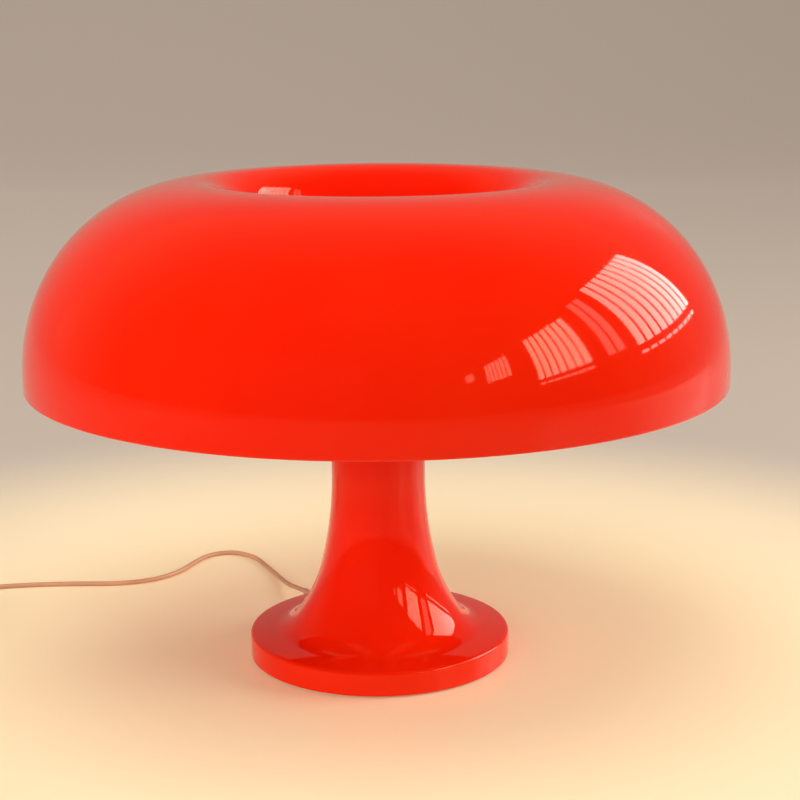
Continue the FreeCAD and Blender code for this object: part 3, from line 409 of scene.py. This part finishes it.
orange = {
    "colour": (0.90, 0.011, 0.0010),
    "warm": (0.93, 0.017, 0.0010),
    "sheen": (1.0, 0.50, 0.32),          # colour of its mirror image, seen straight on
    "roughness": (0.025, 0.065),
}


def orangeMaterial(name):
    material, tree, shader = startMaterial(name, orange["colour"], orange["roughness"][0])
    shader.inputs["Specular Tint"].default_value = (*orange["sheen"], 1)
    tint = objectNoise(tree, scale=7, detail=2.0)
    varyColour(tree, shader, tint, orange["colour"], orange["warm"])
    haze = objectNoise(tree, scale=45, detail=5.0)
    varyRoughness(tree, shader, haze, *orange["roughness"])
    sink = objectNoise(tree, scale=16, detail=1.0)
    wave = addBump(tree, shader, sink, strength=0.25, distance=0.4 * mm)
    grain = objectNoise(tree, scale=900, detail=2.0)
    addBump(tree, shader, grain, strength=0.03, distance=0.02 * mm, below=wave)
    return material


shadePlastic = orangeMaterial("shadePlastic")
stemPlastic = orangeMaterial("stemPlastic")


# shade: half ring with a funnel-shaped well

shadeForm = {
    "ridge": 80.5 * mm,
    "skirt": 7.0 * mm,
    "wall": 2.6 * mm,
    "rimRound": 1.0 * mm,
    "lip": 18.0 * mm,
    "wellDepth": 58.0 * mm,
    "wellAngle": 66.0,
    "wellFillet": 36.0 * mm,
    "hole": 4.3 * mm,
    "spigotRadius": 14.3 * mm,
    "spigotWall": 2.0 * mm,
    "spigotDepth": 3.0 * mm,
    "steps": 192,
}


def wellPoints(offset, top):
    turn = math.radians(shadeForm["wellAngle"])
    fillet = shadeForm["wellFillet"] + offset
    lip = arcPoints((shadeForm["ridge"], top - shadeForm["lip"]), shadeForm["lip"] - offset,
                    90, 90 + shadeForm["wellAngle"], 10)
    filletHeight = top - shadeForm["wellDepth"] + shadeForm["wellFillet"]
    drop = lip[-1][1] + fillet * math.cos(turn) - filletHeight
    filletRadius = lip[-1][0] - drop / math.tan(turn) - fillet * math.sin(turn)
    return lip[1:] + arcPoints((filletRadius, filletHeight), fillet, shadeForm["wellAngle"] - 90, -90, 14)


def makeShade():
    low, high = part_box("shade")
    radius, rim, top = high.x, low.z, high.z
    wall, corner = shadeForm["wall"], shadeForm["rimRound"]
    ridge, widest = shadeForm["ridge"], rim + shadeForm["skirt"]
    floorTop = top - shadeForm["wellDepth"]
    outside = ellipsePoints((ridge, widest), radius - ridge, top - widest, 0, 90, 36)
    inside = ellipsePoints((ridge, widest), radius - ridge - wall, top - widest - wall, 90, 0, 30)
    spigotIn = shadeForm["spigotRadius"]
    spigotOut = spigotIn + shadeForm["spigotWall"]
    spigotLow = floorTop - wall - shadeForm["spigotDepth"]
    outline = arcPoints((radius - corner, rim + corner), corner, -90, 0, 4)
    outline += outside + wellPoints(0.0, top)
    outline += [(shadeForm["hole"], floorTop), (shadeForm["hole"], floorTop - wall),
                (spigotIn, floorTop - wall), (spigotIn, spigotLow), (spigotOut, spigotLow),
                (spigotOut, floorTop - wall)]
    outline += wellPoints(wall, top)[::-1] + inside
    outline += arcPoints((radius - wall + corner, rim + corner), corner, 180, 270, 4)
    outline.append(outline[0])
    piece = turnOutline("shade_moulding", outline, shadeForm["steps"])
    piece.data.materials.append(shadePlastic)
    finish(piece, "shade", ("shade",))


makeShade()
print("shade made")


# stem: trumpet and foot

stemForm = {
    "waist": 21.8 * mm,
    "waistHeight": 87.0 * mm,
    "neckRadius": 173.0 * mm,
    "neckTurn": 14.3,
    "flareRadius": 72.0 * mm,
    "rootRadius": 16.0 * mm,
    "edgeHeight": 11.8 * mm,
    "edgeRound": 1.5 * mm,
    "slope": 6.0,
    "wall": 3.0 * mm,
    "rodHole": 4.3 * mm,
    "topRound": 0.6 * mm,
    "steps": 160,
}


def stemOutline(offset, footRadius):    # from the foot's edge up to the waist, moved in by the offset
    slope, turn = math.radians(stemForm["slope"]), math.radians(stemForm["neckTurn"])
    inward = Vector((-math.cos(slope), math.sin(slope)))
    outward = Vector((math.sin(slope), math.cos(slope)))
    neckCentre = Vector((stemForm["waist"] + stemForm["neckRadius"], stemForm["waistHeight"]))
    away = Vector((math.cos(turn), math.sin(turn)))
    flareCentre = neckCentre - away * (stemForm["neckRadius"] - stemForm["flareRadius"])
    edgeCentre = Vector((footRadius - stemForm["edgeRound"], stemForm["edgeHeight"] - stemForm["edgeRound"]))
    edgeEnd = edgeCentre + outward * stemForm["edgeRound"]
    toRoot = edgeEnd + outward * stemForm["rootRadius"] - flareCentre
    along = toRoot.dot(inward)
    gap = (stemForm["flareRadius"] - stemForm["rootRadius"]) ** 2
    rootCentre = edgeEnd + outward * stemForm["rootRadius"]
    rootCentre += inward * (math.sqrt(along ** 2 - toRoot.length_squared + gap) - along)
    rootTurn = math.degrees(math.atan2(flareCentre.y - rootCentre.y, flareCentre.x - rootCentre.x))
    neckTurn = stemForm["neckTurn"]
    if offset:
        points = [(footRadius - offset, stemForm["edgeHeight"] - offset)]
    else:
        points = arcPoints(edgeCentre, stemForm["edgeRound"], 0, 90 - stemForm["slope"], 6)
    points += arcPoints(rootCentre, stemForm["rootRadius"] + offset,
                        270 - stemForm["slope"], 180 + rootTurn, 14)
    points += arcPoints(flareCentre, stemForm["flareRadius"] + offset, 180 + rootTurn, 180 + neckTurn, 22)[1:]
    points += arcPoints(neckCentre, stemForm["neckRadius"] + offset, 180 + neckTurn, 180, 12)[1:]
    return points


def makeStem():
    low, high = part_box("stem")
    bottom, top = low.z, high.z
    footRadius = high.x
    wall, corner = stemForm["wall"], stemForm["topRound"]
    outer = stemOutline(0.0, footRadius)
    inner = stemOutline(wall, footRadius)
    outline = [(footRadius, bottom)] + outer
    outline += arcPoints((stemForm["waist"] - corner, top - corner), corner, 0, 90, 3)
    outline += [(stemForm["rodHole"], top), (stemForm["rodHole"], top - wall),
                (stemForm["waist"] - wall, top - wall)]
    outline += inner[::-1] + [(footRadius - wall, bottom), (footRadius, bottom)]
    piece = turnOutline("stem_moulding", outline, stemForm["steps"])
    piece.data.materials.append(stemPlastic)
    finish(piece, "lamp", ("stem",))


makeStem()
print("stem made")


# plain finishes of the smaller pieces

finishes = {                             # colour, roughness span, metallic, grain per metre, its depth in mm
    "blackCover": ((0.022, 0.022, 0.023), (0.45, 0.6), 0.0, 1800, 0.05),
    "padRubber": ((0.030, 0.029, 0.028), (0.7, 0.85), 0.0, 900, 0.04),
    "zincSteel": ((0.60, 0.59, 0.56), (0.22, 0.38), 1.0, 700, 0.01),
    "castIron": ((0.09, 0.09, 0.095), (0.5, 0.7), 0.3, 500, 0.12),
    "whitePaint": ((0.80, 0.79, 0.76), (0.28, 0.40), 0.0, 420, 0.03),
    "whitePlastic": ((0.82, 0.80, 0.75), (0.22, 0.34), 0.0, 260, 0.02),
    "seatPlastic": ((0.78, 0.77, 0.73), (0.35, 0.5), 0.0, 700, 0.03),
    "brass": ((0.78, 0.57, 0.24), (0.2, 0.36), 1.0, 600, 0.01),
    "capMetal": ((0.72, 0.71, 0.69), (0.24, 0.36), 1.0, 500, 0.01),
    "insulator": ((0.02, 0.02, 0.03), (0.05, 0.12), 0.0, 300, 0.01),
    "blockPlastic": ((0.76, 0.76, 0.72), (0.3, 0.42), 0.0, 500, 0.02),
    "brownSheath": ((0.22, 0.10, 0.045), (0.35, 0.5), 0.0, 900, 0.03),
    "sandPlastic": ((0.60, 0.34, 0.20), (0.34, 0.46), 0.0, 1500, 0.03),
    "nickel": ((0.76, 0.74, 0.70), (0.12, 0.22), 1.0, 500, 0.005),
}


def plainMaterial(name):
    colour, roughness, metallic, grainScale, depth = finishes[name]
    material, tree, shader = startMaterial(name, colour, roughness[0], metallic)
    patches = objectNoise(tree, scale=grainScale / 12, detail=3.0)
    varyColour(tree, shader, patches, tone(colour, 0.93), tone(colour, 1.05))
    grain = objectNoise(tree, scale=grainScale, detail=3.0)
    varyRoughness(tree, shader, grain, *roughness)
    addBump(tree, shader, grain, strength=0.3, distance=depth * mm)
    return material


plain = {name: plainMaterial(name) for name in finishes}


opalGlass = {                            # white-coated glass: gloss over a soft body
    "colour": (0.90, 0.88, 0.84),
    "clouds": ((0.87, 0.85, 0.81), (0.92, 0.90, 0.86)),
    "roughness": 0.08,
    "swirl": (0.06, 0.11),               # span of its roughness
    "softness": 0.25,                    # share of the light that goes in, and how far
    "softReach": 0.004,
    "coat": 0.5,
    "coatRoughness": 0.03,
}


def opalMaterial():
    material, tree, shader = startMaterial("opalGlass", opalGlass["colour"], opalGlass["roughness"])
    shader.inputs["Subsurface Weight"].default_value = opalGlass["softness"]
    shader.inputs["Subsurface Radius"].default_value = (opalGlass["softReach"],) * 3
    shader.inputs["Coat Weight"].default_value = opalGlass["coat"]
    shader.inputs["Coat Roughness"].default_value = opalGlass["coatRoughness"]
    cloud = objectNoise(tree, scale=50, detail=2.0)
    varyColour(tree, shader, cloud, *opalGlass["clouds"])
    swirl = objectNoise(tree, scale=90, detail=1.0, stretch=(1, 1, 0.4))
    varyRoughness(tree, shader, swirl, *opalGlass["swirl"])
    addBump(tree, shader, swirl, strength=0.15, distance=0.15 * mm)
    return material


opal = opalMaterial()
print("finishes mixed")


# CAD pieces whose shape stays

keptNodes = {
    "base_cover": "blackCover", "foot_pads": "padRubber", "cover_screws": "zincSteel", "ballast": "castIron",
    "rod_nuts": "zincSteel", "rod_washer": "zincSteel", "holder_nuts": "zincSteel",
    "shade_seat": "seatPlastic", "socket_carrier": "whitePaint", "holder_contacts": "brass",
    "inner_lead": "sandPlastic", "terminal_block": "blockPlastic", "terminal_screws": "zincSteel",
    "holder_wires": "brownSheath",
    "switch_base": "sandPlastic", "switch_cover": "sandPlastic", "switch_rocker": "sandPlastic",
    "switch_screws": "zincSteel", "switch_contacts": "brass", "plug_body": "sandPlastic",
    "plug_pins": "nickel", "pin_sleeves": "sandPlastic",
}


def dressNodes():
    for node, finishName in keptNodes.items():
        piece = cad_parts[node]
        piece.data.materials.clear()
        piece.data.materials.append(plain[finishName])


dressNodes()
print("CAD pieces dressed")


# threaded rod, knob and washer

rodForm = {
    "pitch": 1.25 * mm,
    "depth": 0.55 * mm,
    "crest": (0.46, 0.58),               # shares of the pitch
    "root": (0.92, 1.12),                # runs on into the next turn
    "steps": 28,
}


def makeRod():
    low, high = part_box("tie_rod")
    radius, pitch = high.x, rodForm["pitch"]
    inner = radius - rodForm["depth"]
    rootStart, rootEnd = rodForm["root"]
    profile = [(inner, 0.0), (inner, (rootEnd - 1) * pitch)]
    profile += [(radius, share * pitch) for share in rodForm["crest"]]
    profile += [(inner, rootStart * pitch), (inner, pitch)]
    rod = turnThread("threaded_rod", profile, pitch, low.z, high.z, rodForm["steps"])
    rod.data.materials.append(plain["zincSteel"])
    finish(rod, "lamp", ("tie_rod",))


knobForm = {
    "flutes": 16,
    "stepsPerFlute": 6,
    "fluteWidth": 3,                     # of those steps
    "fluteReach": 0.88,                  # flutes take in what lies further out than this share of the radius
    "fluteDepth": 0.93,                  # share of the radius left in a flute
    "sideSteps": 4,
    "crown": 2.0 * mm,
    "edge": 1.4 * mm,
    "foot": 0.6 * mm,
    "bore": 4.05 * mm,
    "boreDepth": 7.4 * mm,
}


def makeKnob():
    low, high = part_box("shade_knob")
    radius, bottom, top = high.x, low.z, high.z
    shoulder = top - knobForm["crown"]
    edge, foot = knobForm["edge"], knobForm["foot"]
    outline = [(0, bottom + knobForm["boreDepth"]), (knobForm["bore"], bottom + knobForm["boreDepth"]),
               (knobForm["bore"], bottom), (radius - foot, bottom), (radius, bottom + foot)]
    rise = (shoulder - edge - bottom - foot) / knobForm["sideSteps"]
    outline += [(radius, bottom + foot + rise * step) for step in range(1, knobForm["sideSteps"] + 1)]
    outline += arcPoints((radius - edge, shoulder - edge), edge, 15, 75, 3)
    outline += ellipsePoints((0, shoulder), radius - edge, knobForm["crown"], 20, 80, 3)
    outline.append((0, top))
    steps = knobForm["flutes"] * knobForm["stepsPerFlute"]
    knob = turnOutline("fluted_knob", outline, steps, 50)
    halfFlute = math.pi / steps * knobForm["fluteWidth"]

    def inFlute(place):
        far = math.hypot(place.x, place.y) > radius * knobForm["fluteReach"]
        return far and offNearest(place, knobForm["flutes"]) < halfFlute
    drawIn(knob, inFlute, knobForm["fluteDepth"])
    applyModifier(knob, "SUBSURF", levels=1, render_levels=1)
    smooth(knob, 50)
    knob.data.materials.append(shadePlastic)
    finish(knob, "knob", ("shade_knob",))


washerForm = {
    "bore": 4.1 * mm,
    "edge": 0.25 * mm,
}


def makeWasher():
    low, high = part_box("knob_washer")
    inner, outer, edge = washerForm["bore"], high.x, washerForm["edge"]
    outline = [(inner, low.z), (outer - edge, low.z), (outer, low.z + edge), (outer, high.z - edge),
               (outer - edge, high.z), (inner + edge, high.z), (inner, high.z - edge), (inner, low.z)]
    washer = turnOutline("plain_washer", outline, 96)
    washer.data.materials.append(plain["zincSteel"])
    finish(washer, "knob_washer", ("knob_washer",))


makeRod()
makeKnob()
makeWasher()
print("rod and knob made")


# lampholders and bulbs: built upright from the carrier's tab, then set on their slanted axes

holderForm = {
    "angles": (45.0, 135.0, 225.0, 315.0),
    "tilt": 18.0,
    "reach": 27.0 * mm,
    "height": 142.5 * mm,
    "rear": 11.0 * mm,
    "front": 13.5 * mm,
    "rearLength": 9.0 * mm,
    "shoulder": 12.0 * mm,
    "length": 30.0 * mm,
    "floor": 8.0 * mm,
    "bore": 7.51 * mm,
    "nipple": 4.0 * mm,
    "nippleBore": 2.5 * mm,
    "nippleLength": 6.0 * mm,
    "edge": 0.8 * mm,
    "shoulderStep": 0.4 * mm,            # its face is narrower by this, and straight again after the next
    "shoulderRise": 0.6 * mm,
    "ribs": 30,
    "stepsPerRib": 4,
    "ribStart": 2.0 * mm,                # above the shoulder
    "ribEnd": 3.0 * mm,                  # below the mouth
    "ribDepth": 0.965,                   # share of the radius left between two ribs
}
bulbForm = {
    "capStart": 10.8 * mm,
    "capLength": 22.0 * mm,
    "capRadius": 6.95 * mm,
    "threadDepth": 0.55 * mm,
    "pitch": 2.82 * mm,
    "threadStart": 3.0 * mm,             # above the cap's lower end
    "band": 1.0 * mm,                    # plain metal between thread and collar
    "bandTuck": 0.5 * mm,                # how far it starts inside the thread
    "bandRise": 0.2 * mm,
    "collar": 8.2 * mm,
    "collarLength": 2.2 * mm,
    "collarRise": 1.2 * mm,
    "collarEdge": 0.3 * mm,
    "insulatorRim": 0.6 * mm,            # round the tip
    "insulatorStep": 0.5 * mm,           # narrower than the cap
    "insulatorRise": 2.4 * mm,
    "insulatorTuck": 0.3 * mm,
    "tip": 2.5 * mm,
    "tipHeight": 1.6 * mm,
    "tipRound": 0.8 * mm,
    "ball": 22.5 * mm,
    "neck": 7.5 * mm,
    "throat": 14.0 * mm,
    "glassLength": 52.0 * mm,
}


def holderPlace(angle):
    turn = Matrix.Rotation(math.radians(angle), 4, "Z")
    tilt = Matrix.Rotation(math.radians(90 - holderForm["tilt"]), 4, "Y")
    return turn @ Matrix.Translation((holderForm["reach"], 0, holderForm["height"])) @ tilt


def holderPiece():
    form = holderForm
    edge, rear, front = form["edge"], form["rear"], form["front"]
    outline = [(form["nippleBore"], -form["nippleLength"]), (form["nipple"], -form["nippleLength"]),
               (form["nipple"], 0), (rear - edge, 0)]
    outline += arcPoints((rear - edge, edge), edge, -45, 0, 2)
    ribLow, ribTop = form["shoulder"] + form["ribStart"], form["length"] - form["ribEnd"]
    outline += [(rear, form["rearLength"]), (front - form["shoulderStep"], form["shoulder"]),
                (front, form["shoulder"] + form["shoulderRise"]), (front, ribLow),
                (front, ribTop), (front, ribTop + form["shoulderRise"])]
    outline += arcPoints((front - edge, form["length"] - edge), edge, 0, 90, 3)
    outline += [(form["bore"], form["length"]), (form["bore"], form["floor"]),
                (form["nippleBore"], form["floor"]), (form["nippleBore"], -form["nippleLength"])]
    steps = form["ribs"] * form["stepsPerRib"]
    piece = turnOutline("holder", outline, steps, 40)
    near = 0.1 * mm

    def inGroove(place):
        level = ribLow - near < place.z < ribTop + near
        outside = math.hypot(place.x, place.y) > rear
        return level and outside and offNearest(place, form["ribs"]) < math.pi / steps
    drawIn(piece, inGroove, form["ribDepth"])
    return smooth(piece, 30)


def glassPiece():
    form = bulbForm
    start = form["capStart"] + form["capLength"]
    centre = start + form["glassLength"] - form["ball"]
    rise = math.sqrt((form["ball"] + form["throat"]) ** 2 - (form["neck"] + form["throat"]) ** 2)
    lean = math.degrees(math.atan2(rise, form["neck"] + form["throat"]))
    outline = [(0, start), (form["neck"], start)]
    outline += arcPoints((form["neck"] + form["throat"], centre - rise), form["throat"], 180, 180 - lean, 10)
    outline += arcPoints((0, centre), form["ball"], -lean, 90, 30)[1:]
    return turnOutline("glass", outline, 72, 60)


def capPiece():
    form = bulbForm
    low, top, radius = form["capStart"], form["capStart"] + form["capLength"], form["capRadius"]
    depth, pitch, edge = form["threadDepth"], form["pitch"], form["collarEdge"]
    profile = [(radius - depth / 2 * (1 - math.cos(2 * math.pi * step / 10)), pitch * step / 10)
               for step in range(11)]
    collarLow = top - form["collarLength"]
    threadLow, threadTop = low + form["threadStart"], collarLow - form["band"]
    thread = turnThread("cap", profile, pitch, threadLow, threadTop, 48)
    bandLow = threadTop - form["bandTuck"]
    collar = turnOutline("collar", [(0, bandLow), (radius - depth, bandLow),
                                    (radius, threadTop + form["bandRise"]), (radius, collarLow),
                                    (form["collar"], collarLow + form["collarRise"]),
                                    (form["collar"], top - edge), (form["collar"] - edge, top), (0, top)], 72)
    thread.data.materials.append(plain["capMetal"])
    collar.data.materials.append(plain["capMetal"])
    side, inThread = radius - form["insulatorStep"], threadLow + form["insulatorTuck"]
    foot = turnOutline("foot", [(0, low), (form["tip"] + form["insulatorRim"], low),
                                (side, low + form["insulatorRise"]), (side, inThread), (0, inThread)], 48)
    foot.data.materials.append(plain["insulator"])
    return joinPieces("cap", [thread, collar, foot])


def tipPiece():
    high, radius, corner = bulbForm["capStart"], bulbForm["tip"], bulbForm["tipRound"]
    low = high - bulbForm["tipHeight"]
    outline = [(0, low)] + arcPoints((radius - corner, low + corner), corner, -90, 0, 4)
    return turnOutline("tip", outline + [(radius, high), (0, high)], 40)


def makeBulbs():
    parts = {                            # by CAD node: its own name here, shape, material, body and slot
        "lampholder": ("holder_sleeve", holderPiece(), plain["whitePlastic"], "lamp", "holder_white"),
        "bulb_glass": ("opal_globe", glassPiece(), opal, "bulb", "glass_opal"),
        "bulb_cap": ("screw_cap", capPiece(), None, "bulb", "cap_metal"),
        "bulb_tip": ("centre_contact", tipPiece(), plain["brass"], "bulb_tip", "contact_brass"),
    }
    for node, (shownName, source, material, body, slot) in parts.items():
        if material:                     # a cap has its two already
            source.data.materials.append(material)
        for number, angle in enumerate(holderForm["angles"], 1):
            piece = copyPiece(source, f"{shownName}_{number}", holderPlace(angle))
            rider = body if body == "lamp" else f"{body}_{number}"
            finish(piece, rider, (f"{node}_{number}",))
        bpy.data.objects.remove(source)


makeBulbs()
print("lampholders and bulbs made")


# strain relief behind the foot

glandForm = {
    "heading": 119.4,
    "height": 6.2 * mm,
    "wallStart": 58.2 * mm,              # inner face of the foot's wall, from the lamp's axis
    "wallEnd": 61.2 * mm,
    "collarWall": 1.4 * mm,
    "collarRound": 0.35 * mm,
    "flange": 2.5 * mm,
    "neck": 2.0 * mm,
    "collar": 3.2 * mm,
    "tip": 1.65 * mm,
    "tipEdge": 0.2 * mm,
    "sleeve": 15.0 * mm,
    "grooves": 5,
    "grooveDepth": 0.35 * mm,
    # a groove's section: shares of the way to the next one, and of its depth
    "grooveSection": ((0.3, 0.0), (0.38, 0.7), (0.5, 1.0), (0.62, 0.7), (0.7, 0.0)),
}


def makeGland():
    form = glandForm
    start, corner, edge = form["wallEnd"] + form["collarWall"], form["collarRound"], form["tipEdge"]
    inside = form["wallStart"] - form["collarWall"]
    outline = [(0, inside), (form["flange"], inside), (form["flange"], form["wallStart"]),
               (form["neck"], form["wallStart"]), (form["neck"], form["wallEnd"]),
               (form["collar"], form["wallEnd"])]
    outline += arcPoints((form["collar"] - corner, start - corner), corner, 0, 90, 3)
    pitch = form["sleeve"] / (form["grooves"] + 0.5)
    for groove in range(form["grooves"]):
        for along, inward in form["grooveSection"]:
            far = (groove + along) * pitch
            radius = form["neck"] + (form["tip"] - form["neck"]) * far / form["sleeve"]
            outline.append((radius - inward * form["grooveDepth"], start + far))
    end = start + form["sleeve"]
    outline += [(form["tip"], end - edge), (form["tip"] - edge, end), (0, end)]
    gland = turnOutline("strain_relief", outline, 48, 50)
    turn = Matrix.Rotation(math.radians(form["heading"]), 4, "Z")
    lay = Matrix.Rotation(math.radians(90), 4, "Y")
    gland.data.transform(turn @ Matrix.Translation((0, 0, form["height"])) @ lay)
    gland.data.materials.append(plain["sandPlastic"])
    finish(gland, "lamp", ("cord_gland",))


makeGland()
print("strain relief made")


# tie round the coil

tieForm = {
    "behind": 15.0 * mm,                 # from the coil's centre back to the middle of its turns
    "wall": 0.35 * mm,
    "width": 6.0 * mm,
    "inside": 10.5 * mm,                 # round the coil's section, to the middle of the wall
    "bottom": 0.38 * mm,
    "top": 10.3 * mm,
    "corner": 2.2 * mm,
    "tongue": 7.0 * mm,
    "tongueSteps": 6,
    "tongueLift": 0.5 * mm,              # at its free end
}


def makeTie():
    form = tieForm
    wall, width, steps = form["wall"], form["width"], form["tongueSteps"]
    middle = coil["centre"][1] * mm + form["behind"]
    side = coil["centre"][0] * mm - width / 2
    half, corner = form["inside"] / 2, form["corner"]
    low, high = form["bottom"], form["top"]
    loop = []
    for cornerCentre, start in (((half - corner, low + corner), -90), ((half - corner, high - corner), 0),
                                ((corner - half, high - corner), 90), ((corner - half, low + corner), 180)):
        loop += arcPoints(cornerCentre, corner, start, start + 90, 6)
    loop.append(loop[0])
    band = makeBand("coil_tie", [(side, middle + across, height) for across, height in loop], width, wall)
    front, lift = middle - form["tongue"] / 2, form["tongueLift"]
    shares = [step / steps for step in range(steps + 1)]
    tongue = makeBand("tongue", [(side, front + form["tongue"] * share, high + wall + lift * share ** 3)
                                 for share in shares], width, wall)
    tie = joinPieces("coil_tie", [band, tongue])
    applyModifier(tie, "BEVEL", width=0.1 * mm, segments=2, limit_method="ANGLE")
    smooth(tie, 40)
    tie.data.materials.append(plain["blackCover"])
    return finish(tie, "lamp")


coilTie = makeTie()
print("tie made")
# studio: pale floor that sweeps up into a wall, soft lamps, daylight from panes on the right

studio = {
    "floorColour": (0.94, 0.76, 0.47),
    "floorRoughness": 0.35,
    "floorSpecular": 0.3,
    "wallColour": (0.31, 0.255, 0.21),
    "ownLight": (0.17, 0.85),            # what floor and wall add for the camera and for mirror images
    "floorReach": (0.15, 0.48),          # from the lamp's axis: where the floor's tint turns to the wall's
    "halfWidth": 5.0,
    "front": -5.0,
    "sweep": (2.2, 1.0, 3.0),            # where the wall's curve starts, its radius, the wall's top
    "sweepSteps": 16,
    "roomPale": (0.43, 0.31, 0.20),      # the room's light from behind the lamp
    "roomDim": (0.11, 0.08, 0.05),       # and from the viewer's side
    "roomReach": (-0.2, 0.6),            # where one turns to the other, by the direction's part along +Y
}
lamps = {                                # place, aim, size, watts
    "frontLamp": ((-0.9, -2.2, 0.55), (0, 0, 0.10), 1.6, 32.0),
    "sideLamp": ((1.4, 0.1, 0.60), (0, 0, 0.10), 1.0, 18.0),
    "lowLamp": ((-1.3, -0.7, 0.35), (0, 0, 0.08), 0.8, 6.0),
    "topLamp": ((-0.3, -0.4, 2.0), (0, 0, 0.10), 1.8, 25.0),
    "wallLamp": ((-1.2, 1.4, 1.6), (-0.6, 2.6, 0.2), 1.2, 6.0),
}
paneWall = {
    "distance": 2.5,
    "colour": (1.0, 0.97, 0.93),
    # span along Y, span in height, panes side by side, strength
    "windows": [((-0.05, 1.75), (0.74, 2.45), 9, 9.0), ((-0.05, 1.75), (0.58, 0.68), 9, 6.0),
                ((-0.63, -0.25), (0.80, 2.32), 2, 3.0),
                ((-2.13, -0.92), (0.83, 2.16), 7, 10.0), ((-2.13, -0.92), (0.69, 0.77), 7, 7.0),
                ((-3.78, -2.80), (1.25, 2.05), 6, 6.0), ((-4.90, -4.40), (1.60, 2.00), 3, 5.0)],
    "bar": 0.24,                         # share of a pane's width
}


def makeFloor():
    begin, radius, top = studio["sweep"]
    profile = [(studio["front"], 0), (begin, 0)]
    profile += arcPoints((begin, radius), radius, -90, 0, studio["sweepSteps"])[1:]
    profile.append((begin + radius, top))
    floor = drawChain("floor", [(-studio["halfWidth"], along, height) for along, height in profile])
    bpy.ops.mesh.select_all(action="SELECT")
    bpy.ops.mesh.extrude_region_move(TRANSFORM_OT_translate={"value": (2 * studio["halfWidth"], 0, 0)})
    bpy.ops.mesh.select_all(action="SELECT")
    bpy.ops.mesh.normals_make_consistent(inside=False)
    smooth(floor, 40)
    material, tree, shader = startMaterial("floorPaint", studio["floorColour"], studio["floorRoughness"])
    shader.inputs["Specular IOR Level"].default_value = studio["floorSpecular"]
    coordinates = addNode(tree, "ShaderNodeTexCoord")
    reach = addNode(tree, "ShaderNodeVectorMath", operation="LENGTH")
    tree.links.new(coordinates.outputs["Object"], reach.inputs[0])
    share = mapRange(tree, reach.outputs["Value"], studio["floorReach"], ease="SMOOTHSTEP")
    colour = mixColours(tree, share, studio["floorColour"], studio["wallColour"])
    tree.links.new(colour, shader.inputs["Base Color"])
    tree.links.new(colour, shader.inputs["Emission Color"])
    rays = addNode(tree, "ShaderNodeLightPath")
    seen = addNode(tree, "ShaderNodeMath", operation="MAXIMUM")
    glow = addNode(tree, "ShaderNodeMath", operation="MULTIPLY")
    tree.links.new(rays.outputs["Is Camera Ray"], seen.inputs[0])
    tree.links.new(rays.outputs["Is Glossy Ray"], seen.inputs[1])
    tree.links.new(seen.outputs["Value"], glow.inputs[0])
    tree.links.new(mapRange(tree, share, (0.0, 1.0), studio["ownLight"]), glow.inputs[1])
    tree.links.new(glow.outputs["Value"], shader.inputs["Emission Strength"])
    floor.data.materials.append(material)


def makeRoom():
    world = bpy.data.worlds.new("room")
    scene.world = world
    world.use_nodes = True
    tree = world.node_tree
    coordinates = addNode(tree, "ShaderNodeTexCoord")
    parts = addNode(tree, "ShaderNodeSeparateXYZ")
    tree.links.new(coordinates.outputs["Generated"], parts.inputs["Vector"])
    share = mapRange(tree, parts.outputs["Y"], studio["roomReach"], ease="SMOOTHSTEP")
    colour = mixColours(tree, share, studio["roomDim"], studio["roomPale"])
    tree.links.new(colour, tree.nodes["Background"].inputs["Color"])


def makeLamps():
    for name, (place, target, size, watts) in lamps.items():
        clearPicks()
        bpy.ops.object.light_add(type="AREA", location=place)
        lamp = bpy.context.object
        lamp.name = name
        lamp.data.size = size
        lamp.data.energy = watts
        aim = Vector(target) - Vector(place)
        lamp.rotation_euler = aim.to_track_quat("-Z", "Y").to_euler()
        lamp.visible_glossy = False
        lamp.visible_camera = False


def glowMaterial(strength):
    material = bpy.data.materials.new("paneGlow")
    material.use_nodes = True
    tree = material.node_tree
    glow = addNode(tree, "ShaderNodeEmission", Color=(*paneWall["colour"], 1), Strength=strength)
    tree.links.new(glow.outputs["Emission"], tree.nodes["Material Output"].inputs["Surface"])
    return material


def makePanes():                          # one row of tall panes in each window
    for number, (along, upright, columns, strength) in enumerate(paneWall["windows"], 1):
        width, height = along[1] - along[0], upright[1] - upright[0]
        clearPicks()
        bpy.ops.mesh.primitive_grid_add(x_subdivisions=columns, y_subdivisions=1, size=1)
        panes = nameActive(f"panes_{number}")
        editPiece(panes, "FACE")
        bpy.ops.transform.resize(value=(width, height, 1))
        bpy.ops.mesh.inset(thickness=paneWall["bar"] / 2 * width / columns, use_individual=True)
        bpy.ops.mesh.select_all(action="INVERT")
        bpy.ops.mesh.delete(type="FACE")
        bpy.ops.object.mode_set(mode="OBJECT")
        middle = ((along[0] + along[1]) / 2, (upright[0] + upright[1]) / 2)
        place = Matrix.Translation((paneWall["distance"], middle[0], middle[1]))
        facing = Matrix(((0, 0, -1, 0), (-1, 0, 0, 0), (0, 1, 0, 0), (0, 0, 0, 1)))
        panes.data.transform(place @ facing)
        panes.data.materials.append(glowMaterial(strength))
        panes.visible_camera = False
        panes.visible_shadow = False
        panes.visible_diffuse = False


makeFloor()
makeRoom()
makeLamps()
makePanes()
scene.view_settings.view_transform = "Standard"
print("studio made")
